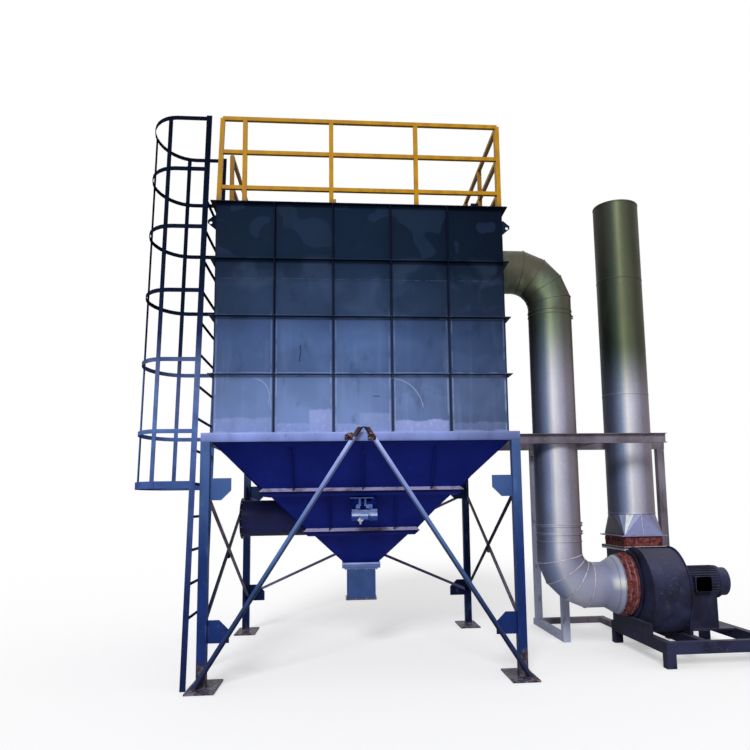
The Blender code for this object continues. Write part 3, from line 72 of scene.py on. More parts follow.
def tone(red, green, blue):
    """A colour as it shows on screen, 0 to 255, made linear for a shader."""
    values = []
    for part in (red, green, blue):
        share = part / 255
        if share <= 0.04045:
            values.append(share / 12.92)
        else:
            values.append(((share + 0.055) / 1.055) ** 2.4)
    return (values[0], values[1], values[2], 1.0)


def feed(tree, value, socket):
    """Links an output to a socket or sets its value; three numbers are a colour as on screen."""
    if isinstance(value, bpy.types.NodeSocket):
        tree.links.new(value, socket)
    elif socket.type == "RGBA" and len(value) == 3:
        socket.default_value = tone(*value)
    else:
        socket.default_value = value


def add_node(tree, kind, inputs, **settings):
    """A shader node with its settings and what feeds its inputs."""
    node = tree.nodes.new("ShaderNode" + kind)
    for setting, value in settings.items():
        setattr(node, setting, value)
    for place, value in inputs.items():
        feed(tree, value, node.inputs[place])
    return node


class Finish:
    """A coat of paint, metal or cloth: a base colour with patterns laid on it, in metres."""

    def __init__(self, name, roughness=0.5, metallic=0.0, specular=0.06):
        self.material = bpy.data.materials.new(name)
        self.material.use_nodes = True
        self.tree = self.material.node_tree
        self.shader = self.tree.nodes["Principled BSDF"]
        self.shader.inputs["Roughness"].default_value = roughness
        self.shader.inputs["Metallic"].default_value = metallic
        self.shader.inputs["Specular IOR Level"].default_value = specular
        self.base = None
        place = self.node("TexCoord", {})
        self.place = place.outputs["Object"]
        self.x, self.y, self.z = self.node("SeparateXYZ", {0: self.place}).outputs
        facing = self.node("SeparateXYZ", {0: place.outputs["Normal"]})
        self.facing_x, self.facing_y, self.facing_z = facing.outputs

    def node(self, kind, inputs, **settings):
        return add_node(self.tree, kind, inputs, **settings)

    def sum(self, operation, *values):
        return self.node("Math", dict(enumerate(values)), operation=operation).outputs[0]

    def times(self, *amounts):
        """Several amounts multiplied with each other."""
        product = amounts[0]
        for amount in amounts[1:]:
            product = self.sum("MULTIPLY", product, amount)
        return product

    def fade(self, value, low, high, start=0.0, end=1.0):
        """Goes smoothly from start to end while value goes from low to high."""
        ends = {"Value": value, "From Min": low, "From Max": high, "To Min": start, "To Max": end}
        return self.node("MapRange", ends, interpolation_type="SMOOTHSTEP").outputs["Result"]

    def band(self, value, low, high, edge):
        """One between low and high, and zero outside, with soft edges."""
        rise = self.fade(value, low - edge, low + edge)
        return self.times(rise, self.fade(value, high - edge, high + edge, 1.0, 0.0))

    def noise(self, scale, detail, stretch=(1, 1, 1), shift=(0, 0, 0), warp=0.0):
        spread = self.node("Mapping", {"Vector": self.place, "Scale": stretch, "Location": shift})
        inputs = {"Vector": spread.outputs[0], "Scale": scale, "Detail": detail, "Distortion": warp}
        return self.node("TexNoise", inputs).outputs[0]

    def spots(self, scale, low, high, detail, *spread, **more):
        """Irregular patches: zero where the noise is under low, one over high."""
        return self.fade(self.noise(scale, detail, *spread, **more), low, high)

    def wander(self, value, reach, *pattern):
        """A value that wanders with a noise, by half of reach either way."""
        wave = self.sum("MULTIPLY_ADD", self.noise(*pattern), reach, -reach / 2)
        return self.sum("ADD", value, wave)

    def mix(self, amount, under, over, kind="MIX"):
        inputs = {0: amount, 6: under, 7: over}
        return self.node("Mix", inputs, data_type="RGBA", blend_type=kind).outputs[2]

    def lay(self, over, *amounts):
        """Lays a colour on the base, by the product of all that says where and how much."""
        self.base = self.mix(self.times(*amounts), self.base, over)

    def shade(self, factor):
        """Makes the base lighter or darker by a factor that may vary."""
        scaled = self.node("VectorMath", {0: self.base, "Scale": factor}, operation="SCALE")
        self.base = scaled.outputs[0]

    def shade_undersides(self, strength, colour, low=-0.7, high=-0.4):
        """Painted shade on all that faces down: a darker colour on undersides."""
        self.lay(colour, self.fade(self.facing_z, low, high, strength, 0.0))

    def ramp(self, value, stops):
        """A run of colours; each stop is its place and colour, from low to high."""
        low = stops[0][0]
        high = stops[-1][0]
        share = self.node("MapRange", {"Value": value, "From Min": low, "From Max": high})
        node = self.node("ValToRGB", {0: share.outputs["Result"]})
        ends = node.color_ramp.elements
        ends[0].color = tone(*stops[0][1:])
        ends[1].color = tone(*stops[-1][1:])
        for position, *colour in stops[1:-1]:
            ends.new((position - low) / (high - low)).color = tone(*colour)
        return node.outputs[0]

    def arc(self, centre_x, centre_z, radius, low_z, high_z):
        """A thin curved scratch on the front wall."""
        run = self.sum("SUBTRACT", self.x, centre_x)
        rise = self.sum("SUBTRACT", self.z, centre_z)
        reach = self.sum("SQRT", self.sum("ADD", self.times(run, run), self.times(rise, rise)))
        reach = self.sum("MULTIPLY_ADD", self.noise(14.0, 3.0), 0.02, reach)
        ring = self.band(reach, radius, radius + 0.007, 0.003)
        side = self.fade(self.x, centre_x, centre_x + 0.02)
        return self.times(ring, self.band(self.z, low_z, high_z, 0.01), side)

    def grain(self, height, depth, strength):
        """Bump from a height pattern, on top of any bump that is already there."""
        inputs = {"Strength": strength, "Distance": depth, "Height": height}
        normal = self.shader.inputs["Normal"]
        if normal.links:
            inputs["Normal"] = normal.links[0].from_socket
        self.tree.links.new(self.node("Bump", inputs).outputs[0], normal)

    def gloss(self, pattern, smooth, rough):
        """Roughness that follows a noise."""
        feed(self.tree, self.fade(pattern, 0.3, 0.7, smooth, rough), self.shader.inputs["Roughness"])

    def done(self, *bump):
        """The material, after one more bump from a noise: its scale, detail, depth and strength."""
        if bump:
            self.grain(self.noise(*bump[:2]), *bump[2:])
        feed(self.tree, self.base, self.shader.inputs["Base Color"])
        return self.material


def housing_paint():
    """Blue wall paint, with painted shade darkening it towards the top and painted light brightening it
    towards the hopper.
    """
    coat = Finish("housing_paint", 0.46, 0.0, 0.02)
    # Painted light and shade: plate course by plate course, the blue goes from dark at the top to light
    # above the hopper.
    coat.base = coat.ramp(coat.z, (
        (2.42, 110, 133, 182), (2.8, 106, 129, 177), (2.99, 99, 122, 170),
        (3.03, 79, 102, 148), (3.35, 72, 96, 141), (3.59, 60, 80, 121),
        (3.63, 45, 63, 93), (3.98, 39, 57, 85), (4.03, 30, 47, 72),
        (4.22, 25, 41, 65), (4.25, 18, 35, 58), (4.9, 15, 30, 51),
    ))
    left_side = coat.fade(coat.x, HOUSING_LEFT_X, HOUSING_MIDDLE_X - 0.4, 0.82, 1.04)
    right_side = coat.fade(coat.x, HOUSING_MIDDLE_X, HOUSING_MIDDLE_X + 1.5, 1, 0.42)
    coat.shade(coat.times(left_side, right_side))
    cloud = coat.noise(1.6, 5, (1, 1, 1.3), warp=0.6)
    coat.shade(coat.fade(cloud, 0.32, 0.68, 0.87, 1.13))
    high_up = coat.fade(coat.z, 4.15, 4.3)
    patch = coat.spots(3.2, 0.555, 0.575, 1, shift=(4, 1, 7))
    coat.lay((38, 56, 84), patch, high_up, 0.34)
    low_patch = coat.spots(2.6, 0.5, 0.66, 2, shift=(1, 6, 3), warp=0.5)
    below = coat.fade(coat.z, 4.2, 4.3, 1, 0)
    coat.lay((122, 142, 188), low_patch, below, 0.06)
    bleached = coat.fade(coat.z, 2.9, 3.8, 1, 0)
    streak = coat.spots(9, 0.5, 0.72, 4, (1, 1, 0.08))
    coat.lay((146, 160, 206), streak, bleached, 0.15)
    soot = coat.spots(6, 0.56, 0.75, 6, (1, 1, 0.5), (9, 3, 2))
    coat.lay((14, 24, 44), soot, 0.32)

    # Touched-up paint along the bottom edge: left, right, top and how well it covers.
    height = coat.wander(coat.z, -0.08, 9, 4, (1, 1, 0.2), (3, 0, 0))
    bright = coat.spots(30, 0.52, 0.68, 6, (1, 1, 0.7), (1, 1, 8))
    for left, right, top, cover in (
        (-2.478, -1.9, 2.572, 0.3),
        (-1.84, -1.52, 2.518, 0.36),
        (-1.52, -1.292, 2.659, 0.58),
        (-1.266, -1.01, 2.506, 0.46),
        (-1.01, -0.7, 2.622, 0.3),
        (-0.655, -0.1, 2.545, 0.72),
        (-0.06, 0.5, 2.52, 0.16),
    ):
        under_top = coat.fade(height, top - 0.01, top + 0.01, 1, 0)
        strip = coat.times(coat.band(coat.x, left, right, 0.01), under_top)
        coat.lay((156, 168, 222), strip, cover)
        coat.lay((206, 214, 242), bright, strip, cover * 0.3)

    # Painted highlights beside the stiffeners, and painted shade on the bars and just beside them.
    across = coat.sum("SUBTRACT", coat.x, HOUSING_LEFT_X)
    across = coat.sum("PINGPONG", across, PANEL_WIDTH / 2)
    up = coat.sum("PINGPONG", coat.sum("SUBTRACT", coat.z, SUPPORT_HEIGHT), PANEL_HEIGHT / 2)
    lower_rows = coat.fade(coat.z, 2.95, 3.15, 0.5, 0.2)
    lower_rows = coat.times(lower_rows, coat.fade(coat.z, 3.5, 3.75, 1, 0))
    stiffener_highlight = coat.band(up, 0.012, 0.022, 0.005)
    stiffener_highlight = coat.sum("MAXIMUM", stiffener_highlight, coat.band(across, 0.02, 0.032, 0.006))
    broken = coat.spots(7, 0.36, 0.55, 3, shift=(0, 4, 4))
    coat.lay((166, 180, 222), stiffener_highlight, broken, lower_rows)
    bar = coat.fade(across, 0.008, 0.016, 0.8, 0)
    coat.lay((16, 18, 42), bar)

    # Scratches through the paint, one dark drip and a short dark stroke.
    scratch = coat.arc(-0.7, 2.64, 0.344, 2.68, 2.98)
    scratch = coat.sum("MAXIMUM", scratch, coat.arc(-2.11, 2.79, 0.2, 2.72, 2.975))
    coat.lay((176, 190, 224), scratch, 0.55)
    wobble = coat.sum("MULTIPLY_ADD", coat.noise(11, 2), 0.05, coat.x)
    drip = coat.band(wobble, -1.595, -1.583, 0.005)
    drip = coat.times(drip, coat.band(coat.z, 3.15, 3.32, 0.01))
    stroke = coat.band(coat.x, -0.872, -0.8, 0.008)
    stroke = coat.times(stroke, coat.band(coat.z, 2.789, 2.798, 0.005))
    coat.lay((24, 34, 66), coat.sum("MAXIMUM", drip, stroke), 0.75)

    # The seam where two courses of wall plate are welded.
    seam = coat.band(coat.wander(coat.z, 0.016, 3, 2), 4.012, 4.02, 0.003)
    seam = coat.times(seam, coat.spots(14, 0.44, 0.56, 3, (1, 1, 0)))
    coat.lay((120, 136, 168), seam, 0.16)

    # Dust on top, and painted shade on everything that faces down.
    dust = coat.times(coat.fade(coat.facing_z, 0.6, 0.95), coat.spots(3, 0.3, 0.7, 6))
    coat.lay((96, 98, 108), dust, 0.35)
    coat.shade_undersides(0.86, (11, 12, 26))
    coat.gloss(cloud, 0.38, 0.56)
    coat.grain(coat.noise(90, 3), 0.002, 0.35)
    coat.grain(coat.noise(2.2, 2, shift=(5, 5, 5)), 0.05, 0.3)
    coat.grain(seam, 0.004, 0.8)
    return coat.done()


LEG_TONES = (
    (0.05, 22, 40, 92), (0.45, 24, 46, 104), (1.2, 28, 52, 110),
    (1.75, 58, 84, 136), (2.3, 70, 96, 148), (2.335, 76, 100, 152),
    (2.345, 120, 136, 198), (2.42, 128, 144, 206),
)
BEAM_TONES = (
    (2.33, 98, 114, 170), (2.35, 118, 133, 194), (2.4, 134, 149, 212),
    (2.42, 158, 171, 228),
)
STRUT_TONES = (
    (0.03, 44, 50, 78), (0.3, 36, 50, 92), (0.6, 38, 56, 98),
    (0.95, 56, 80, 126), (1.15, 74, 101, 152), (1.55, 98, 121, 176),
    (1.9, 134, 150, 210), (2.15, 152, 166, 224), (2.36, 168, 179, 232),
    (2.375, 78, 66, 78), (2.47, 52, 42, 50),
)
STRUT_FOOT_REACH = 1.615
STRUT_SLOPE = 0.642
NOWHERE_BARE = -1.0


def frame_paint(name, tones, bare_height, lightness=1.0, right_end=0.88, slanted=False):
    """Blue frame paint that changes with height, on steel left bare below bare_height.

    It has painted shade towards the rear and, down to right_end, darkens to the right. A slanted bar has
    a painted highlight along its outer edge and painted shade along its inner one.
    """
    coat = Finish(name, 0.44)
    coat.base = coat.ramp(coat.z, tones)
    # Painted shade towards the rear, and darker towards the right.
    rear = coat.fade(coat.y, -1, 0.6, lightness, 0.42 * lightness)
    right_side = coat.fade(coat.x, HOUSING_MIDDLE_X + 0.3, HOUSING_MIDDLE_X + 1.6, 1, right_end)
    coat.shade(coat.times(rear, right_side))
    # Painted highlight along a slanted bar's outer edge, painted shade along its inner one.
    if slanted:
        reach = coat.sum("ABSOLUTE", coat.sum("SUBTRACT", coat.x, HOUSING_MIDDLE_X))
        centre = coat.sum("MULTIPLY_ADD", coat.z, -STRUT_SLOPE, STRUT_FOOT_REACH)
        across = coat.sum("SUBTRACT", reach, centre)
        coat.shade(coat.fade(across, -0.012, 0, 0.3, 1.04))
        coat.shade(coat.fade(across, 0.01, 0.03, 1, 1.14))
    cloud = coat.noise(4, 5, (1, 1, 0.5), warp=0.4)
    coat.shade(coat.fade(cloud, 0.3, 0.7, 0.84, 1.16))
    chalk = coat.spots(16, 0.58, 0.74, 6, (1, 1, 0.35))
    coat.lay((134, 148, 200), chalk, 0.14 * lightness)
    chip = coat.spots(30, 0.66, 0.72, 8, (1, 1, 0.6), (8, 1, 4))
    coat.lay((60, 48, 62), chip, 0.4)
    further_back = coat.fade(coat.y, -0.5, 0.5, 0, 0.2)
    height = coat.sum("ADD", coat.wander(coat.z, 0.2, 9, 4), further_back)
    bare = coat.fade(height, bare_height, bare_height + 0.06, 1, 0)
    steel = coat.mix(coat.spots(20, 0.42, 0.62, 6), (44, 42, 56), (86, 80, 96))
    brown = coat.spots(16, 0.52, 0.66, 7, shift=(3, 3, 3))
    steel = coat.mix(coat.times(brown, 0.6), steel, (78, 58, 50))
    pale = coat.times(coat.spots(26, 0.5, 0.64, 6), coat.fade(coat.z, 0.01, 0.03, 1, 0.25))
    steel = coat.mix(coat.times(pale, 0.6), steel, (146, 136, 160))
    coat.lay(steel, bare)
    # Painted shade on all that faces down.
    coat.shade_undersides(0.85, (12, 14, 34))
    coat.gloss(cloud, 0.36, 0.56)
    coat.grain(coat.noise(70, 4), 0.002, 0.4)
    coat.grain(bare, 0.002, 0.6)
    return coat.done()


def brace_primer():
    """Mauve-grey primed angles, streaked with rust."""
    coat = Finish("brace_primer", 0.62)
    cloud = coat.noise(7, 6, (1, 1, 0.6))
    coat.base = coat.mix(coat.fade(cloud, 0.3, 0.7), (70, 64, 82), (112, 104, 122))
    coat.lay((88, 64, 62), coat.spots(18, 0.55, 0.68, 7), 0.5)
    # Painted light: a paler colour on the rear braces, which stand in shade.
    coat.lay((128, 122, 172), coat.fade(coat.y, 1.2, 1.4), 0.6)
    return coat.done(80, 4, 0.002, 0.5)


def rusty_steel():
    """Bare brackets: dark brown rust with pale scale."""
    coat = Finish("rusty_steel", 0.75)
    cloud = coat.noise(30, 7)
    coat.base = coat.mix(coat.fade(cloud, 0.38, 0.62), (30, 22, 28), (100, 68, 66))
    coat.lay((186, 172, 176), coat.spots(60, 0.55, 0.66, 6), 0.6)
    return coat.done(120, 6, 0.002, 0.7)


def connector_cloth():
    """Brick-red fabric coated with sealant: crumpled, with pale patches and pale ridges."""
    coat = Finish("connector_cloth", 0.88)
    crumple = coat.noise(16, 7, warp=0.8)
    coat.base = coat.mix(coat.fade(crumple, 0.32, 0.64), (58, 26, 32), (126, 66, 66))
    coat.lay((172, 128, 130), coat.spots(34, 0.54, 0.68, 6), 0.42)
    coat.lay((44, 24, 30), coat.spots(12, 0.56, 0.68, 5, shift=(6, 1, 1)), 0.25)
    wobble = coat.wander(coat.x, 0.08, 7, 3)
    ridges = coat.band(wobble, 1.954, 1.966, 0.006)
    ridges = coat.sum("MAXIMUM", ridges, coat.band(wobble, 2.016, 2.03, 0.006))
    ridges = coat.times(ridges, coat.spots(9, 0.34, 0.54, 5, shift=(2, 7, 2)))
    coat.lay((184, 140, 146), ridges, 0.65)
    weave = coat.node("TexChecker", {"Vector": coat.place, "Scale": 330})
    coat.grain(weave.outputs["Fac"], 0.0006, 0.35)
    coat.grain(crumple, 0.022, 0.9)
    return coat.done(70, 5, 0.004, 0.6)


def bright_zinc():
    """Pale zinc on clamp bars, bolts and duct seams, with painted shade in dark brown on what faces left.
    """
    coat = Finish("bright_zinc", 0.5, 0.25, 0.3)
    cloud = coat.noise(30, 5)
    coat.base = coat.mix(coat.fade(cloud, 0.3, 0.7), (158, 156, 168), (212, 208, 210))
    coat.lay((112, 98, 98), coat.spots(40, 0.56, 0.7, 6), 0.5)
    # Painted shade: dark brown on faces that turn to the left.
    left_face_shade = coat.fade(coat.facing_x, -0.95, -0.6, 0.62, 0)
    coat.lay((96, 80, 84), left_face_shade)
    return coat.done(140, 4, 0.001, 0.4)


def hopper_paint(name, darker, lighter, rings):
    """Deep ultramarine hopper paint; painted shade just under each ring, and on the rings' upper faces a
    pale colour, partly rubbed primer and partly painted highlight.
    """
    coat = Finish(name, 0.42)
    cloud = coat.noise(2.4, 5, warp=0.5)
    coat.base = coat.mix(coat.fade(cloud, 0.3, 0.7), darker, lighter)
    drip = coat.spots(13, 0.55, 0.76, 4, (1, 1, 0.1), (0, 6, 0))
    coat.lay((48, 66, 140), drip, 0.12)
    coat.lay((74, 92, 160), coat.spots(40, 0.68, 0.76, 6), 0.16)
    worn_and_lit = coat.mix(coat.spots(9, 0.5, 0.66, 6), (158, 152, 190), (122, 110, 130))
    upper_edge = coat.fade(coat.facing_z, 0.3, 0.5)
    # Under each ring a painted shade; on its upper face a pale colour that is partly worn primer and
    # partly a painted highlight.
    for ring in rings:
        shade = coat.band(coat.z, ring - 0.034, ring - 0.006, 0.004)
        coat.lay((7, 8, 28), shade, 0.75)
        edge = coat.band(coat.z, ring - 0.014, ring + RING_HALF_HEIGHT + 0.006, 0.002)
        coat.lay(worn_and_lit, edge, upper_edge, 0.95)
    # Painted shade on all that faces down.
    coat.shade_undersides(0.9, (7, 8, 26), -0.98, -0.88)
    coat.gloss(cloud, 0.34, 0.52)
    coat.grain(coat.noise(80, 4), 0.002, 0.35)
    return coat.done(3, 2, 0.04, 0.3)


def outlet_paint():
    """Lighter blue on the outlet collar and the discharge spool, brown at the rims."""
    coat = Finish("outlet_paint", 0.44, 0.0, 0.2)
    coat.base = coat.ramp(coat.z, (
        (0.59, 98, 82, 92), (0.614, 92, 84, 104), (0.62, 46, 72, 126),
        (0.93, 48, 76, 130), (0.95, 92, 116, 176), (0.966, 150, 164, 216),
        (0.969, 70, 94, 152), (1.0, 96, 122, 182), (1.006, 28, 42, 86),
        (1.012, 150, 168, 218), (1.03, 160, 176, 224),
    ))
    cloud = coat.noise(9, 5)
    coat.shade(coat.fade(cloud, 0.3, 0.7, 0.88, 1.12))
    coat.lay((92, 80, 92), coat.spots(22, 0.62, 0.72, 6), 0.45)
    # Painted shade on all that faces down.
    coat.shade_undersides(0.8, (16, 24, 56), -0.8, -0.5)
    return coat.done(90, 4, 0.002, 0.4)


def access_paint():
    """Ladder and cage: near black navy high up and near the ground, mid blue between."""
    coat = Finish("access_paint", 0.46, 0.0, 0.0)
    coat.base = coat.ramp(coat.z, (
        (0.0, 28, 38, 78), (0.8, 32, 44, 90), (1.9, 62, 84, 140),
        (2.5, 84, 110, 168), (2.9, 92, 108, 154), (3.1, 80, 96, 142),
        (3.4, 32, 44, 82), (3.9, 18, 26, 48), (5.7, 14, 20, 38),
    ))
    coat.shade(coat.fade(coat.noise(7, 5), 0.3, 0.7, 0.8, 1.16))
    coat.lay((90, 100, 144), coat.spots(30, 0.66, 0.74, 6), 0.22)
    # Painted shade on all that faces down.
    coat.shade_undersides(0.85, (10, 12, 26), -0.8, -0.4)
    return coat.done(90, 4, 0.0015, 0.4)


def rail_paint():
    """Ochre yellow guard rail paint, browner low down and inside."""
    coat = Finish("rail_paint", 0.5, 0.0, 0.12)
    wash = coat.noise(9, 5, (1, 1, 0.6), warp=0.4)
    coat.base = coat.mix(coat.fade(wash, 0.3, 0.7), (166, 116, 10), (190, 140, 16))
    coat.lay((140, 96, 22), coat.spots(26, 0.6, 0.7, 6, shift=(1, 2, 3)), 0.35)
    coat.lay((92, 54, 24), coat.spots(17, 0.68, 0.73, 8, shift=(5, 0, 2)), 0.6)
    low = coat.fade(coat.z, 4.83, 4.95, 0.45, 0)
    coat.lay((126, 86, 28), low)
    # Painted shade, in brown, on all that faces down.
    coat.shade_undersides(0.6, (84, 60, 20))
    rear = coat.fade(coat.y, -1.35, -1.15, 0, 0.45)
    coat.lay((92, 60, 26), rear)
    coat.gloss(wash, 0.42, 0.6)
    return coat.done(90, 4, 0.0015, 0.4)


def galvanised_sheet():
    """Zinc-coated duct sheet with spangle: painted light and shade round it by the way it faces, green
    algae high up.
    """
    coat = Finish("galvanised_sheet", 0.48, 0.2, 0.12)
    # Painted light and shade round the duct: dark where it faces left, a painted highlight where it faces
    # front-left, darker and browner to the right.
    coat.base = coat.ramp(coat.facing_x, (
        (-1.0, 66, 68, 84), (-0.84, 78, 83, 108), (-0.57, 124, 140, 172),
        (-0.32, 208, 208, 214), (0.0, 172, 170, 190), (0.34, 124, 120, 136),
        (0.76, 118, 105, 110), (1.0, 102, 92, 98),
    ))
    spangle = coat.node("TexVoronoi", {"Vector": coat.place, "Scale": 55})
    coat.base = coat.mix(0.1, coat.base, spangle.outputs["Color"], "SOFT_LIGHT")
    cloud = coat.noise(3, 5, (1, 1, 0.35), warp=0.5)
    coat.shade(coat.fade(cloud, 0.3, 0.7, 0.9, 1.06))
    streak = coat.spots(16, 0.52, 0.74, 4, (1, 1, 0.05))
    coat.lay((110, 110, 136), streak, 0.12)
    low = coat.fade(coat.z, 0.9, 1.25, 1, 0)
    coat.lay((110, 116, 150), low, 0.5)
    cone = coat.times(low, coat.fade(coat.x, 1.6, 1.8))
    coat.lay((84, 94, 128), cone, 0.3)
    # A painted highlight on the front of the cone.
    cone_highlight = coat.times(coat.band(coat.x, 1.79, 1.96, 0.03), coat.band(coat.z, 0.74, 0.84, 0.04))
    cone_highlight = coat.times(cone_highlight, coat.fade(coat.facing_y, -0.95, -0.6, 1, 0))
    coat.lay((232, 230, 218), cone_highlight, 0.5)

    # Algae and soot: pale green on the riser, dark olive on the stack.
    on_stack = coat.fade(coat.x, 1.8, 1.9)
    height = coat.wander(coat.z, 0.24, 1.6, 3, (1, 1, 0.6))
    height = coat.sum("MULTIPLY_ADD", on_stack, 0.2, height)
    film = coat.mix(on_stack, (0.34, 0.43, 0.24, 1), (0.19, 0.23, 0.11, 1))
    coat.base = coat.mix(coat.fade(height, 2.95, 3.85), coat.base, film, "MULTIPLY")
    brown = coat.spots(3.5, 0.36, 0.62, 5, (1, 1, 0.5), (2, 9, 5))
    high_up = coat.fade(coat.z, 3.7, 4.1)
    coat.lay((78, 70, 58), brown, high_up, coat.fade(on_stack, 0, 1, 0.75, 0.2))
    coat.gloss(cloud, 0.4, 0.56)
    coat.grain(coat.noise(6, 3, (1, 1, 0.3)), 0.02, 0.2)
    return coat.done(120, 3, 0.001, 0.3)


def folded_sheet():
    """Galvanised sheet folded into flat facets, each painted lighter or darker by the way it faces, as
    painted light and shade.
    """
    coat = Finish("folded_sheet", 0.46, 0.2, 0.25)
    # Painted light and shade: dark on facets that face left, a painted highlight on those that face
    # front-left, darker again towards the right.
    coat.base = coat.ramp(coat.facing_x, (
        (-1.0, 70, 66, 76), (-0.86, 84, 88, 108), (-0.7, 118, 136, 174),
        (-0.48, 172, 182, 206), (-0.34, 230, 230, 222), (-0.18, 142, 148, 182),
        (0.0, 124, 128, 168), (0.4, 114, 110, 140), (1.0, 98, 90, 98),
    ))
    cloud = coat.noise(8, 5, (1, 1, 0.5))
    coat.shade(coat.fade(cloud, 0.3, 0.7, 0.88, 1.08))
    coat.lay((108, 98, 116), coat.spots(22, 0.58, 0.72, 5), 0.3)
    return coat.done(120, 3, 0.001, 0.3)


def fan_paint():
    """Dark dusty blue-grey fan paint with drips of dust and rubbed edges."""
    coat = Finish("fan_paint", 0.52)
    cloud = coat.noise(3.5, 6, warp=0.6)
    coat.base = coat.mix(coat.fade(cloud, 0.32, 0.68), (33, 33, 50), (47, 50, 78))
    dust = coat.spots(8, 0.54, 0.76, 6, (1, 1, 0.3))
    coat.lay((88, 84, 102), dust, 0.28)
    coat.lay((104, 102, 122), coat.fade(coat.facing_z, 0.3, 0.9, 0, 0.35))
    rub = coat.spots(34, 0.66, 0.73, 6, shift=(4, 4, 4))
    coat.lay((112, 106, 124), rub, 0.4)
    scuffed = coat.times(coat.band(coat.x, 2.26, 2.42, 0.03), coat.band(coat.z, 0.7, 0.9, 0.04))
    scuff = coat.times(scuffed, coat.spots(48, 0.6, 0.74, 2))
    coat.lay((140, 140, 158), scuff, 0.35)
    coat.gloss(cloud, 0.42, 0.64)
    return coat.done(50, 5, 0.002, 0.5)


def grey_primer():
    """Grey-mauve primer on the duct frame, with rust, and with painted light that makes its left posts
    paler.
    """
    coat = Finish("grey_primer", 0.62)
    cloud = coat.noise(4, 6, (1, 1, 0.5), warp=0.5)
    coat.base = coat.mix(coat.fade(cloud, 0.3, 0.7), (92, 85, 96), (126, 120, 134))
    # Painted light: paler on the left posts, below the beam.
    under_beam = coat.fade(coat.z, 2.2, 2.3, 0.8, 0)
    coat.lay((176, 182, 208), coat.fade(coat.x, 1.55, 1.75, 1, 0), under_beam)
    coat.lay((86, 62, 60), coat.spots(13, 0.58, 0.7, 8, (1, 1, 0.5)), 0.55)
    coat.lay((168, 166, 188), coat.spots(24, 0.62, 0.74, 5, shift=(2, 2, 9)), 0.4)
    # Painted shade on all that faces down.
    coat.shade_undersides(0.6, (38, 32, 44))
    return coat.done(70, 5, 0.002, 0.5)


def cast_paint():
    """Thick blue paint on the cast vibrator motor and on its carrier, with painted light and shade on the
    motor by the way it faces, and a painted highlight along it.
    """
    coat = Finish("cast_paint", 0.4, 0.0, 0.3)
    # Painted light and shade on the motor: deep blue where it faces down, pale where it faces up.
    coat.base = coat.ramp(coat.facing_z, (
        (-1.0, 18, 40, 104), (-0.4, 30, 66, 150), (-0.16, 44, 88, 178),
        (-0.06, 84, 116, 186), (0.22, 116, 138, 194), (0.6, 104, 124, 178),
        (1.0, 150, 162, 206),
    ))
    coat.lay((34, 72, 158), coat.fade(coat.z, 1.574, 1.578, 1, 0), 0.6)
    # A painted highlight along the motor's front.
    to_the_front = coat.fade(coat.facing_y, -0.9, -0.7, 0.9, 0)
    coat.lay((200, 214, 243), coat.band(coat.z, 1.58, 1.6, 0.004), to_the_front)
    carrier = coat.ramp(coat.z, (
        (1.62, 116, 146, 204), (1.69, 96, 124, 186), (1.72, 62, 84, 148),
        (1.8, 48, 70, 140),
    ))
    coat.lay(carrier, coat.fade(coat.z, 1.642, 1.652))
    coat.shade(coat.fade(coat.noise(26, 5), 0.3, 0.7, 0.72, 1.08))
    coat.lay((44, 54, 100), coat.spots(44, 0.58, 0.68, 6), 0.5)
    return coat.done(160, 4, 0.0015, 0.6)


finishes = {
    "housing": housing_paint(),
    "legs": frame_paint("leg_paint", LEG_TONES, 0.22),
    "beams": frame_paint("beam_paint", BEAM_TONES, NOWHERE_BARE, 1.0, 0.5),
    "struts": frame_paint("strut_paint", STRUT_TONES, NOWHERE_BARE, slanted=True),
    "dark_braces": frame_paint("brace_paint", LEG_TONES, NOWHERE_BARE, 0.3),
    "folded": folded_sheet(),
    "primed_braces": brace_primer(),
    "rust": rusty_steel(),
    "cloth": connector_cloth(),
    "zinc": bright_zinc(),
    "hopper": hopper_paint("hopper_paint", (15, 28, 110), (21, 35, 124), HOPPER_RINGS),
    "branch": hopper_paint("branch_paint", (36, 38, 66), (44, 48, 96), ()),
    "outlet": outlet_paint(),
    "access": access_paint(),
    "rail": rail_paint(),
    "duct": galvanised_sheet(),
    "fan": fan_paint(),
    "primer": grey_primer(),
    "cast": cast_paint(),
}

node_finishes = (
    ("housing", ("wall_", "roof_")),
    ("legs", ("leg_",)),
    ("beams", ("beam_",)),
    ("struts", ("strut_",)),
    ("primed_braces", ("brace_left_inner", "brace_right_outer", "brace_rear")),
    ("dark_braces", ("brace_left_outer", "brace_right_inner")),
    ("outlet", ("outlet_flange", "discharge_spool")),
    ("hopper", ("hopper_", "inlet_branch", "vibrator_bracket")),
    ("access", ("ladder",)),
    ("rail", ("guard_rail",)),
    ("duct", ("duct_", "stack_")),
    ("fan", ("fan_",)),
    ("primer", ("frame_", "ground_rail")),
    ("cast", ("vibrator_motor",)),
)


def paint_nodes():
    """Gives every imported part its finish."""
    for name, part in nodes.items():
        for finish_name, starts in node_finishes:
            if name.startswith(starts):
                for slot in part.material_slots:
                    slot.link = "OBJECT"
                    slot.material = finishes[finish_name]


def turn_to(direction):
    """Turns what points up so that it points in a direction."""
    return Vector(UP).rotation_difference(Vector(direction)).to_matrix().to_4x4()


def make_object(name, mesh, material):
    data = bpy.data.meshes.new(name)
    mesh.to_mesh(data)
    mesh.free()
    data.materials.append(material)
    made = bpy.data.objects.new(name, data)
    bpy.context.scene.collection.objects.link(made)
    return made


def fit(name, mesh, finish, smooth=False):
    """Makes a mesh a piece of the machine, with its finish."""
    piece = make_object(name, mesh, finishes[finish])
    if smooth:
        for face in piece.data.polygons:
            face.use_smooth = True
    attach(piece, "root")
    return piece


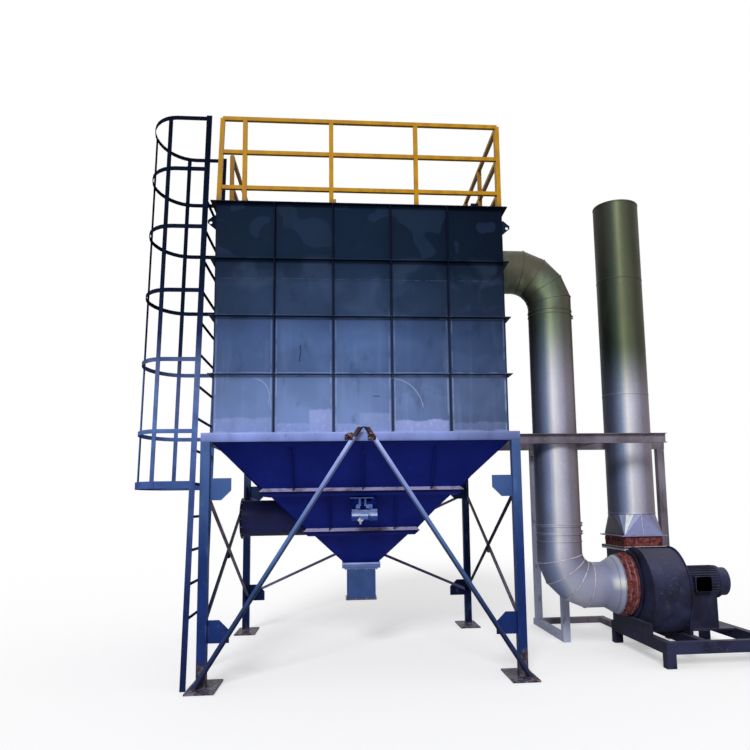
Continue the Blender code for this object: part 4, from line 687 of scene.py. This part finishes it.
def add_rod(mesh, start, end, radius, segments=16, end_radius=None):
    start = Vector(start)
    run = Vector(end) - start
    place = Matrix.Translation(start + run / 2) @ turn_to(run)
    tip = radius if end_radius is None else end_radius
    bmesh.ops.create_cone(mesh, cap_ends=True, segments=segments, radius1=radius,
                          radius2=tip, depth=run.length, matrix=place)


def add_block(mesh, low, high, edge=0.0, turn=None):
    """A rectangular bar between two corners, with its edges softened."""
    low = Vector(low)
    size = Vector(high) - low
    place = Matrix.Translation(low + size / 2)
    if turn is not None:
        place = place @ turn
    place = place @ Matrix.Diagonal((size.x, size.y, size.z, 1.0))
    made = bmesh.ops.create_cube(mesh, size=1.0, matrix=place)["verts"]
    if edge:
        edges = list({line for corner in made for line in corner.link_edges})
        bmesh.ops.bevel(mesh, geom=edges, offset=edge, affect="EDGES",
                        segments=2, profile=0.5, material=-1)


def add_bolt(mesh, seat, direction, size):
    """Washer, hexagon head and thread end on a flat seat."""
    seat = Vector(seat)
    along = Vector(direction).normalized()
    add_rod(mesh, seat - along * 0.001, seat + along * size * 0.16, size * 0.98, 14)
    add_rod(mesh, seat + along * size * 0.15, seat + along * size * 0.75, size * 0.6, 6, size * 0.56)
    add_rod(mesh, seat + along * size * 0.74, seat + along * size * 1.0, size * 0.3, 8)


def add_hoop(mesh, centre, normal, radius, width, height, steps=56, stretch=None):
    """A ridged ring round a pipe; stretch is a direction and a factor for a mitre."""
    before = set(mesh.verts)
    sunk = -0.006
    corners = []
    for across, along in ((sunk, -0.5), (height * 0.6, -0.5), (height, -0.2),
                          (height, 0.2), (height * 0.6, 0.5), (sunk, 0.5)):
        corners.append(mesh.verts.new((radius + across, 0.0, along * width)))
    sides = []
    for index, corner in enumerate(corners):
        sides.append(mesh.edges.new((corner, corners[(index + 1) % len(corners)])))
    bmesh.ops.spin(mesh, geom=corners + sides, cent=(0, 0, 0), axis=(0, 0, 1),
                   angle=2 * math.pi, steps=steps, use_merge=True)
    new = [corner for corner in mesh.verts if corner not in before]
    bmesh.ops.remove_doubles(mesh, verts=new, dist=0.0001)
    new = [corner for corner in mesh.verts if corner not in before]
    bmesh.ops.transform(mesh, matrix=turn_to(normal), verts=new)
    if stretch:
        direction, factor = stretch
        bmesh.ops.transform(mesh, matrix=Matrix.Scale(factor, 4, Vector(direction)), verts=new)
    bmesh.ops.translate(mesh, verts=new, vec=centre)
    faces = list({face for corner in new for face in corner.link_faces})
    bmesh.ops.recalc_face_normals(mesh, faces=faces)


def bolt_circle(mesh, centre, direction, radius, count, size):
    """Bolts in a circle on a round flange."""
    turn = turn_to(direction)
    for index in range(count):
        angle = 2 * math.pi * (index + 0.5) / count
        spot = turn @ Vector((radius * math.cos(angle), radius * math.sin(angle), 0.0))
        add_bolt(mesh, Vector(centre) + spot, direction, size)


def bolt_rectangle(mesh, low, high, height, direction, count_x, count_y, size):
    """Bolts along the four sides of a level rectangular flange."""
    for index in range(count_x):
        x = low[0] + (high[0] - low[0]) * index / (count_x - 1)
        add_bolt(mesh, (x, low[1], height), direction, size)
        add_bolt(mesh, (x, high[1], height), direction, size)
    for index in range(1, count_y - 1):
        y = low[1] + (high[1] - low[1]) * index / (count_y - 1)
        add_bolt(mesh, (low[0], y, height), direction, size)
        add_bolt(mesh, (high[0], y, height), direction, size)


def face_out(mesh, middle=Vector()):
    """Turns the faces of an open upright sleeve outwards, away from its middle."""
    bmesh.ops.recalc_face_normals(mesh, faces=mesh.faces)
    outside = 0.0
    for face in mesh.faces:
        outside += face.normal.dot((face.calc_center_median() - middle).xy.to_3d())
    if outside < 0:
        bmesh.ops.reverse_faces(mesh, faces=mesh.faces)


def smooth_skins():
    """Copies of the rolled and cast parts, shaded as round surfaces between their sharp edges."""
    for name, finish, slot, sharp in (
        ("duct_top_elbow", "duct", "galvanised", 18),
        ("duct_riser", "duct", "galvanised", 18),
        ("duct_bottom_elbow", "duct", "galvanised", 18),
        ("stack_pipe", "duct", "galvanised", 30),
        ("inlet_branch", "branch", "hopper_paint", 30),
        ("fan_casing", "fan", "fan_paint", 30),
        ("fan_motor", "fan", "fan_paint", 30),
        ("vibrator_motor", "cast", "cast_blue", 30),
    ):
        mesh = bmesh.new()
        mesh.from_mesh(nodes[name].data)
        bmesh.ops.remove_doubles(mesh, verts=mesh.verts, dist=0.0001)
        skin = fit(name + "_skin", mesh, finish, True)
        loaded_normals = skin.data.attributes.get("custom_normal")
        if loaded_normals is not None:
            skin.data.attributes.remove(loaded_normals)
        skin.data.set_sharp_from_angle(angle=math.radians(sharp))
        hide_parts(name)


def elbow_seams():
    """Raised seams round both elbows, where their segments meet."""
    stretch = 1 / math.cos(MITRE_STEP / 2)
    top_centre = (RISER_X - TOP_BEND_RADIUS, DUCT_HEIGHT - TOP_BEND_RADIUS)
    bottom_centre = (RISER_X + BOTTOM_BEND_RADIUS, FAN_AXIS_Z + BOTTOM_BEND_RADIUS)
    for name, finish, centre, radius, first in (
        ("top_elbow_seams", "duct", top_centre, TOP_BEND_RADIUS, 0.0),
        ("bottom_elbow_seams", "zinc", bottom_centre, BOTTOM_BEND_RADIUS, math.pi),
    ):
        mesh = bmesh.new()
        for index in range(4):
            angle = first + MITRE_STEP * (index + 0.5)
            outward = Vector((math.cos(angle), 0.0, math.sin(angle)))
            along = Vector((-math.sin(angle), 0.0, math.cos(angle)))
            corner = Vector((centre[0], DUCT_Y, centre[1])) + outward * radius * stretch
            add_hoop(mesh, corner, along, DUCT_RADIUS, 0.01, 0.005, 64, (outward, stretch))
        fit(name, mesh, finish, True)


def pipe_seams():
    """Joint bands on the riser, the cone and the stack, and the long seam of the stack."""
    riser_bands = (3.925, 1.252, 1.33, 1.42)
    stack_bands = (1.545, 2.98, 4.431, 5.408)
    seam_low = 1.55
    seam_high = 5.4
    mesh = bmesh.new()
    for z in riser_bands:
        add_hoop(mesh, (RISER_X, DUCT_Y, z), UP, DUCT_RADIUS, 0.016, 0.006)
    low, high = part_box("stack_pipe")
    middle = (low + high) / 2
    radius = (high.x - low.x) / 2
    for z in stack_bands:
        add_hoop(mesh, (middle.x, middle.y, z), UP, radius, 0.018, 0.004)
    add_block(mesh, (middle.x - 0.006, high.y - 0.002, seam_low),
              (middle.x + 0.006, high.y + 0.002, seam_high), 0.001)
    fit("pipe_seams", mesh, "duct", True)
    mesh = bmesh.new()
    low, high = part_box("duct_bottom_elbow")
    rim_radius = (high.y - low.y) / 2
    for back, size in ((0.008, rim_radius - 0.002), (0.06, rim_radius - 0.028)):
        add_hoop(mesh, (high.x - back, DUCT_Y, FAN_AXIS_Z), RIGHT, size, 0.012, 0.006)
    fit("cone_rims", mesh, "duct", True)


def riser_lugs():
    """Pairs of ears with a bolt that close the joint bands of the riser."""
    heights = (1.344, 1.438, 3.876)
    side = RISER_X + DUCT_RADIUS
    bolt_x = side + 0.02
    half = 0.016
    mesh = bmesh.new()
    for z in heights:
        for foot in (z - 0.014, z + 0.008):
            add_block(mesh, (side - 0.006, DUCT_Y - half, foot),
                      (side + 0.034, DUCT_Y + half, foot + 0.006), 0.001)
        add_rod(mesh, (bolt_x, DUCT_Y, z - 0.024), (bolt_x, DUCT_Y, z + 0.026), 0.005, 8)
        add_rod(mesh, (bolt_x, DUCT_Y, z + 0.014), (bolt_x, DUCT_Y, z + 0.022), 0.01, 6)
    fit("riser_lugs", mesh, "rust")


def folded_transition():
    """The square-to-round piece, folded from flat sheet into facets that meet at its corners."""
    low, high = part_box("stack_transition")
    sleeve_low, sleeve_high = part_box("fan_outlet_connector")
    flange_top = low.z + 0.012
    middle = (sleeve_low + sleeve_high) / 2
    radius = (high.x - low.x) / 2 - 0.001
    mesh = bmesh.new()
    rim = bmesh.ops.create_circle(mesh, cap_ends=False, segments=20, radius=radius,
                                  matrix=Matrix.Translation((middle.x, middle.y, high.z)))["verts"]
    square = bmesh.ops.create_circle(mesh, cap_ends=False, segments=4, radius=math.sqrt(0.5),
                                     matrix=Matrix.Rotation(math.pi / 4, 4, "Z"))["verts"]
    size = sleeve_high - sleeve_low
    bmesh.ops.scale(mesh, verts=square, vec=(size.x, size.y, 1.0))
    bmesh.ops.translate(mesh, verts=square, vec=(middle.x, middle.y, flange_top))
    rim_edges = [line for line in mesh.edges if line.verts[0] in rim]
    square_edges = [line for line in mesh.edges if line.verts[0] in square]
    bmesh.ops.bridge_loops(mesh, edges=rim_edges + square_edges)
    face_out(mesh, middle)
    bmesh.ops.solidify(mesh, geom=mesh.faces[:], thickness=0.002)
    add_rod(mesh, (middle.x, sleeve_low.y - 0.001, flange_top),
            (middle.x, middle.y - radius - 0.001, high.z), 0.003, 8)
    bar = (sleeve_low.x - low.x) + 0.004
    for near, far in ((low.y, low.y + bar), (high.y - bar, high.y)):
        add_block(mesh, (low.x, near, low.z), (high.x, far, flange_top), 0.001)
    for near, far in ((low.x, low.x + bar), (high.x - bar, high.x)):
        add_block(mesh, (near, low.y + bar, low.z), (far, high.y - bar, flange_top), 0.001)
    piece = fit("folded_transition", mesh, "folded")
    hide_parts("stack_transition")


def ripple(place, scale, height):
    """A noise that varies across a sleeve with scale and along it with height."""
    return noise.noise(Vector((place.x * scale, place.y * scale, height)))


def round_sleeve():
    """The crumpled red fabric sleeve between the cone and the fan's inlet ring."""
    low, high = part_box("fan_inlet_connector")
    middle = (low + high) / 2
    length = high.x - low.x
    radius = (high.z - low.z) / 2
    mesh = bmesh.new()
    stations = 15
    profile = []
    for index in range(stations):
        share = index / (stations - 1)
        swell = 0.022 * math.sin(math.pi * share) - 0.014 * math.exp(-((share - 0.42) / 0.09) ** 2)
        profile.append(mesh.verts.new((radius + swell, 0.0, (share - 0.5) * length)))
    lines = [mesh.edges.new((profile[i], profile[i + 1])) for i in range(stations - 1)]
    bmesh.ops.spin(mesh, geom=profile + lines, cent=(0, 0, 0), axis=(0, 0, 1),
                   angle=2 * math.pi, steps=110, use_merge=True)
    bmesh.ops.remove_doubles(mesh, verts=mesh.verts, dist=0.0001)
    face_out(mesh)
    for point in mesh.verts:
        share = min(max(point.co.z / length + 0.5, 0.0), 1.0)
        free = math.sin(math.pi * share) ** 0.6
        outward = Vector((point.co.x, point.co.y, 0.0)).normalized()
        folds = ripple(outward, 9, share * 1.3)
        creases = ripple(outward, 26, share * 6 + 4)
        point.co += outward * free * (0.01 * folds + 0.004 * creases)
        point.co.z += free * 0.006 * ripple(outward, 7, 8)
    bmesh.ops.transform(mesh, matrix=Matrix.Translation(middle) @ turn_to(RIGHT), verts=mesh.verts)
    sleeve = fit("inlet_sleeve", mesh, "cloth", True)
    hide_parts("fan_inlet_connector")
    mesh = bmesh.new()
    for x in (low.x + 0.007, high.x - 0.007):
        add_hoop(mesh, (x, middle.y, middle.z), RIGHT, radius + 0.004, 0.014, 0.004, 64)
    fit("sleeve_bands", mesh, "cloth", True)


def square_sleeve():
    """The red fabric sleeve under the stack, held between two clamp frames."""
    low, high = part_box("fan_outlet_connector")
    size = high - low
    middle = (low + high) / 2
    mesh = bmesh.new()
    bmesh.ops.create_cube(mesh, size=1.0)
    ends = [face for face in mesh.faces if abs(face.normal.z) > 0.9]
    bmesh.ops.delete(mesh, geom=ends, context="FACES_ONLY")
    upright = [line for line in mesh.edges if abs(line.verts[0].co.z - line.verts[1].co.z) > 0.5]
    bmesh.ops.bevel(mesh, geom=upright, offset=0.05, affect="EDGES", segments=3, profile=0.5, material=-1)
    bmesh.ops.scale(mesh, verts=mesh.verts, vec=size)
    for _ in range(3):
        long_lines = [line for line in mesh.edges if line.calc_length() > 0.022]
        bmesh.ops.subdivide_edges(mesh, edges=long_lines, cuts=2, use_grid_fill=True)
    face_out(mesh)
    for point in mesh.verts:
        share = min(max(point.co.z / size.z + 0.5, 0.0), 1.0)
        free = math.sin(math.pi * share) ** 0.7
        outward = Vector((point.co.x / size.x, point.co.y / size.y, 0.0)).normalized()
        folds = ripple(point.co, 14, share * 2)
        creases = ripple(point.co, 45, share * 6)
        point.co += outward * free * (0.006 + 0.01 * folds + 0.004 * creases)
    bmesh.ops.translate(mesh, verts=mesh.verts, vec=middle)
    sleeve = fit("outlet_sleeve", mesh, "cloth", True)
    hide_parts("fan_outlet_connector")


def clamp_frames():
    """A pale angle frame round the square sleeve's foot, and bolts through the flange above it."""
    low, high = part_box("stack_transition")
    sleeve_low, sleeve_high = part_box("fan_outlet_connector")
    left = sleeve_low.x - 0.032
    right = sleeve_high.x + 0.032
    base = sleeve_low.z - 0.04
    top = sleeve_low.z + 0.006
    leaf = 0.006
    mesh = bmesh.new()
    for near in (low.y, high.y - leaf):
        add_block(mesh, (left, near, base), (right, near + leaf, top), 0.001)
    for near in (left, right - leaf):
        add_block(mesh, (near, low.y, base), (near + leaf, high.y, top), 0.001)
    fit("sleeve_clamp_frame", mesh, "zinc")
    mesh = bmesh.new()
    inset = 0.018
    first = (left + inset, low.y + inset)
    last = (right - inset, high.y - inset)
    bolt_rectangle(mesh, first, last, low.z + 0.012, UP, 5, 6, 0.009)
    bolt_rectangle(mesh, first, last, low.z, DOWN, 5, 6, 0.009)
    fit("sleeve_clamp_bolts", mesh, "primer")


def fan_fittings():
    """Rings and bolts on the fan's side plates, and ledges along its feet."""
    mesh = bmesh.new()
    bolt_circle(mesh, (FAN_LEFT_X, DUCT_Y, FAN_AXIS_Z), LEFT, 0.362, 20, 0.013)
    bolt_circle(mesh, (FAN_RIGHT_X, DUCT_Y, FAN_AXIS_Z), RIGHT, 0.3, 12, 0.013)
    add_hoop(mesh, (FAN_LEFT_X - 0.003, DUCT_Y, FAN_AXIS_Z), RIGHT, 0.331, 0.008, 0.052, 64)
    add_hoop(mesh, (FAN_RIGHT_X + 0.003, DUCT_Y, FAN_AXIS_Z), RIGHT, 0.17, 0.01, 0.15, 48)
    ledge_z = 0.3903
    ledge_top = ledge_z + 0.008
    ledge_half = 0.515
    for x, way in ((FAN_LEFT_X, -1), (FAN_RIGHT_X, 1)):
        near, far = sorted((x + way * 0.01, x + way * 0.048))
        add_block(mesh, (near, DUCT_Y - ledge_half, ledge_z), (far, DUCT_Y + ledge_half, ledge_top), 0.001)
        for shift in (-0.46, -0.16, 0.16, 0.46):
            add_bolt(mesh, ((near + far) / 2, DUCT_Y + shift, ledge_top), UP, 0.013)
    fit("fan_fittings", mesh, "fan")


def motor_fittings():
    """Cooling fins, end shields, terminal box lid and holding bolts of the fan motor."""
    low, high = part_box("fan_motor")
    start = low.x + 0.12
    radius = 0.17
    fins = 36
    fin_middle_x = start + 0.24
    fin_size = (0.38, 0.026, 0.005)
    mesh = bmesh.new()
    for index in range(fins):
        angle = 2 * math.pi * index / fins
        side = Vector((0.0, math.cos(angle), math.sin(angle)))
        middle = Vector((fin_middle_x, DUCT_Y, FAN_AXIS_Z)) + side * (radius + 0.005)
        turn = Matrix.Rotation(angle, 4, "X")
        place = Matrix.Translation(middle) @ turn @ Matrix.Diagonal((*fin_size, 1.0))
        bmesh.ops.create_cube(mesh, size=1.0, matrix=place)
    for x in (start + 0.02, start + 0.46):
        add_hoop(mesh, (x, DUCT_Y, FAN_AXIS_Z), RIGHT, radius, 0.04, 0.014, 48)
    bolt_circle(mesh, (start, DUCT_Y, FAN_AXIS_Z), LEFT, radius - 0.022, 6, 0.011)
    for index in range(6):
        grille = 0.03 + 0.02 * index
        add_hoop(mesh, (high.x - 0.003, DUCT_Y, FAN_AXIS_Z), RIGHT, grille, 0.006, 0.006, 32)
    half_width = 0.098
    half = 0.088
    box_x = start + 0.21
    add_block(mesh, (box_x - half_width, low.y, FAN_AXIS_Z - half),
              (box_x + half_width, low.y + 0.008, FAN_AXIS_Z + half), 0.003)
    for shift in (-0.084, 0.084):
        for rise in (-0.074, 0.074):
            add_bolt(mesh, (box_x + shift, low.y + 0.001, FAN_AXIS_Z + rise), FRONT, 0.008)
    fit("motor_fittings", mesh, "fan")


def vibrator_fittings():
    """The vibrator's carrier bar, uprights, foot blocks and cover bolts, and its junction box."""
    uprights = ((-1.021, 0.026), (-0.958, 0.02))
    foot_blocks = (-1.028, -0.919)
    block_low = 1.66
    block_high = 1.694
    box_x = -1.003
    box_z = 1.538
    low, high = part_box("vibrator_motor")
    bracket_low, bracket_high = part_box("vibrator_bracket")
    middle = (low + high) / 2
    bar_z = bracket_high.z - 0.03
    mesh = bmesh.new()
    add_block(mesh, (bracket_low.x - 0.022, bracket_low.y + 0.002, bar_z - 0.007),
              (bracket_high.x - 0.03, bracket_low.y + 0.05, bar_z + 0.007), 0.002)
    for x, width in uprights:
        add_block(mesh, (x, bracket_low.y - 0.006, high.z - 0.02),
                  (x + width, bracket_low.y + 0.006, bar_z), 0.001)
    cover = middle + Vector((0.0, 0.016, -0.03))
    cover_bolts_radius = 0.042
    for x, direction in ((low.x, LEFT), (high.x, RIGHT)):
        for angle in (0.8, 2.4, 3.9, 5.5):
            spot = (x, cover.y + cover_bolts_radius * math.cos(angle),
                    cover.z + cover_bolts_radius * math.sin(angle))
            add_bolt(mesh, spot, direction, 0.007)
    for x in foot_blocks:
        add_block(mesh, (x - 0.021, low.y + 0.04, block_low), (x + 0.021, low.y + 0.08, block_high), 0.004)
        add_bolt(mesh, (x, low.y + 0.058, block_high), UP, 0.013)
        add_bolt(mesh, (x, low.y + 0.04, block_high - 0.016), FRONT, 0.012)
    fit("vibrator_carrier", mesh, "cast")
    mesh = bmesh.new()
    half = 0.024
    on_edge = Matrix.Rotation(math.pi / 4, 4, "Y")
    add_block(mesh, (box_x - half, low.y + 0.01, box_z - half),
              (box_x + half, low.y + 0.046, box_z + half), 0.003, on_edge)
    add_bolt(mesh, (box_x, low.y + 0.01, box_z), FRONT, 0.01)
    add_rod(mesh, (box_x, low.y + 0.026, box_z - 0.026), (box_x, low.y + 0.026, box_z - 0.044), 0.012, 6)
    for shift in (-0.05, 0.045):
        add_bolt(mesh, (middle.x + shift, low.y + 0.004, middle.z - 0.01), FRONT, 0.007)
    fit("vibrator_nuts", mesh, "zinc")


def strut_brackets():
    """Rusty clips and bolts that join the struts' tips to the front beam, and a pin above them."""
    clips = ((-1.166, -1.086), (-0.856, -0.936))
    foot = 2.34
    shoulder = 2.386
    top = 2.412
    thickness = 0.012
    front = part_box("beam_front")[0].y - 0.004
    pin_left = (-1.01, front, 2.462)
    pin_right = (-0.95, front, 2.47)
    mesh = bmesh.new()
    for outer, inner in clips:
        peak = (outer + inner) / 2
        corners = []
        for x, z in ((outer, foot), (outer, shoulder), (peak, top), (inner, top), (inner, foot)):
            corners.append(mesh.verts.new((x, front, z)))
        plate = mesh.faces.new(corners)
        grown = bmesh.ops.extrude_face_region(mesh, geom=[plate])["geom"]
        face = [part for part in grown if isinstance(part, bmesh.types.BMVert)]
        bmesh.ops.translate(mesh, vec=(0, -thickness, 0), verts=face)
        add_bolt(mesh, (peak - (inner - outer) * 0.15, front - thickness, 2.374), FRONT, 0.014)
    add_rod(mesh, pin_left, pin_right, 0.006, 8)
    bmesh.ops.recalc_face_normals(mesh, faces=mesh.faces)
    fit("strut_brackets", mesh, "rust")


def outlet_fittings():
    """Bolts through the outlet's, the inlet's and the upper duct's flanges."""
    low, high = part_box("discharge_spool")
    inset = 0.016
    rim = 0.012
    first = (low.x + inset, low.y + inset)
    last = (high.x - inset, high.y - inset)
    mesh = bmesh.new()
    bolt_rectangle(mesh, first, last, high.z - rim, DOWN, 4, 4, 0.011)
    bolt_rectangle(mesh, first, last, low.z + rim, UP, 4, 4, 0.009)
    fit("outlet_bolts", mesh, "zinc")
    low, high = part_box("inlet_branch")
    middle = (low + high) / 2
    mesh = bmesh.new()
    bolt_circle(mesh, (low.x + 0.01, middle.y, middle.z), RIGHT, 0.227, 14, 0.009)
    fit("inlet_flange_bolts", mesh, "zinc")
    flange_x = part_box("duct_top_elbow")[0].x + 0.01
    mesh = bmesh.new()
    bolt_circle(mesh, (flange_x, DUCT_Y, DUCT_HEIGHT), RIGHT, DUCT_RADIUS + 0.016, 16, 0.01)
    fit("duct_flange_bolts", mesh, "zinc")


def rail_feet():
    """A small welded plate under each guard rail post, and a bracket at one of them."""
    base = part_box("guard_rail_front")[0].z
    foot_zone = 0.004
    same_post = 0.09
    bracket_start = (-1.286, -1.478)
    bracket_end = (-1.243, -1.444)
    bracket_height = 0.055
    half = 0.038
    thickness = 0.006
    feet = []
    for name, part in nodes.items():
        if not name.startswith("guard_rail"):
            continue
        for point in part.data.vertices:
            if point.co.z > base + foot_zone:
                continue
            spot = point.co.xy
            near = [foot for foot in feet if (foot[0] - spot).length < same_post]
            if near:
                near[0].append(spot)
            else:
                feet.append([spot])
    mesh = bmesh.new()
    for foot in feet:
        middle = sum(foot, Vector((0.0, 0.0))) / len(foot)
        add_block(mesh, (middle.x - half, middle.y - half, base - 0.0002),
                  (middle.x + half, middle.y + half, base + thickness), 0.001)
    add_block(mesh, (*bracket_start, base), (*bracket_end, base + bracket_height), 0.002)
    fit("rail_feet", mesh, "rail")


def roof_fittings():
    """Lid clamps, and a block on a thin plate at the roof's front edge."""
    block_x = 0.232
    block_y = -1.451
    mesh = bmesh.new()
    for name in ("roof_hatch_left", "roof_hatch_right"):
        low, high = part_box(name)
        for share in (0.15, 0.5, 0.85):
            y = low.y + (high.y - low.y) * share
            for x, way in ((low.x, -1), (high.x, 1)):
                add_block(mesh, (x - 0.01, y - 0.02, low.z + 0.03),
                          (x + 0.01, y + 0.02, low.z + 0.145), 0.003)
                add_bolt(mesh, (x + way * 0.01, y, low.z + 0.11), (way, 0, 0), 0.011)
    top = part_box("roof_deck")[1].z
    for half_x, half_y, height, edge in ((0.042, 0.011, 0.052, 0.004), (0.05, 0.025, 0.006, 0.001)):
        add_block(mesh, (block_x - half_x, block_y - half_y, top),
                  (block_x + half_x, block_y + half_y, top + height), edge)
    fit("roof_fittings", mesh, "housing")


def set_camera():
    """The photograph's view: eye height, a little left of the housing's middle."""
    place = (-1.1792, -8.4651, 1.6956)
    yaw = 0.0903
    pitch = 0.1236
    roll = -0.0158
    heading = Matrix.Rotation(-yaw, 4, "Z") @ Matrix.Rotation(math.pi / 2 + pitch, 4, "X")
    turn = heading @ Matrix.Rotation(roll, 4, "Z")
    lens = bpy.data.cameras.new("camera")
    lens.sensor_fit = "HORIZONTAL"
    lens.sensor_width = 36.0
    lens.lens = 33.375
    lens.shift_x = -0.0409
    lens.shift_y = 0.0572
    camera = bpy.data.objects.new("camera", lens)
    camera.matrix_world = Matrix.Translation(place) @ turn
    bpy.context.scene.collection.objects.link(camera)
    bpy.context.scene.camera = camera


def lay_floor():
    """A pale floor that is white to the camera and keeps the shadow."""
    material = bpy.data.materials.new("pale_floor")
    material.use_nodes = True
    tree = material.node_tree
    tree.nodes.clear()
    seen = add_node(tree, "LightPath", {}).outputs["Is Camera Ray"]
    lift = add_node(tree, "Math", {0: seen, 1: 0.42}, operation="MULTIPLY")
    glow = add_node(tree, "Emission", {"Strength": lift.outputs[0]})
    matt = add_node(tree, "BsdfDiffuse", {"Color": (0.72, 0.72, 0.73, 1.0)})
    both = add_node(tree, "AddShader", {0: matt.outputs[0], 1: glow.outputs[0]})
    add_node(tree, "OutputMaterial", {"Surface": both.outputs[0]})
    mesh = bmesh.new()
    bmesh.ops.create_grid(mesh, x_segments=1, y_segments=1, size=60.0)
    bmesh.ops.translate(mesh, verts=mesh.verts, vec=(0.0, 30.0, -0.002))
    make_object("floor", mesh, material)


def light_studio():
    """Soft daylight all round and one broad key from the front, a little to the left."""
    scene = bpy.context.scene
    world = bpy.data.worlds.new("studio")
    scene.world = world
    world.use_nodes = True
    tree = world.node_tree
    background = tree.nodes["Background"]
    background.inputs["Color"].default_value = (1.0, 1.0, 1.0, 1.0)
    rays = add_node(tree, "LightPath", {}).outputs
    seen = rays["Is Camera Ray"]
    for ray in ("Is Glossy Ray", "Is Transmission Ray"):
        seen = add_node(tree, "Math", {0: seen, 1: rays[ray]}, operation="MAXIMUM").outputs[0]
    level = add_node(tree, "MapRange", {"Value": seen, "To Min": 0.5, "To Max": 1.0})
    feed(tree, level.outputs["Result"], background.inputs["Strength"])
    key = bpy.data.lights.new("key", "SUN")
    key.energy = 1.9
    key.angle = 0.3
    lamp = bpy.data.objects.new("key", key)
    lamp.rotation_euler = Vector((0.22, 0.84, -0.5)).to_track_quat("-Z", "Y").to_euler()
    scene.collection.objects.link(lamp)
    scene.view_settings.view_transform = "Standard"


paint_nodes()
smooth_skins()
elbow_seams()
pipe_seams()
riser_lugs()
folded_transition()
round_sleeve()
square_sleeve()
clamp_frames()
fan_fittings()
motor_fittings()
vibrator_fittings()
strut_brackets()
outlet_fittings()
rail_feet()
roof_fittings()
set_camera()
lay_floor()
light_studio()
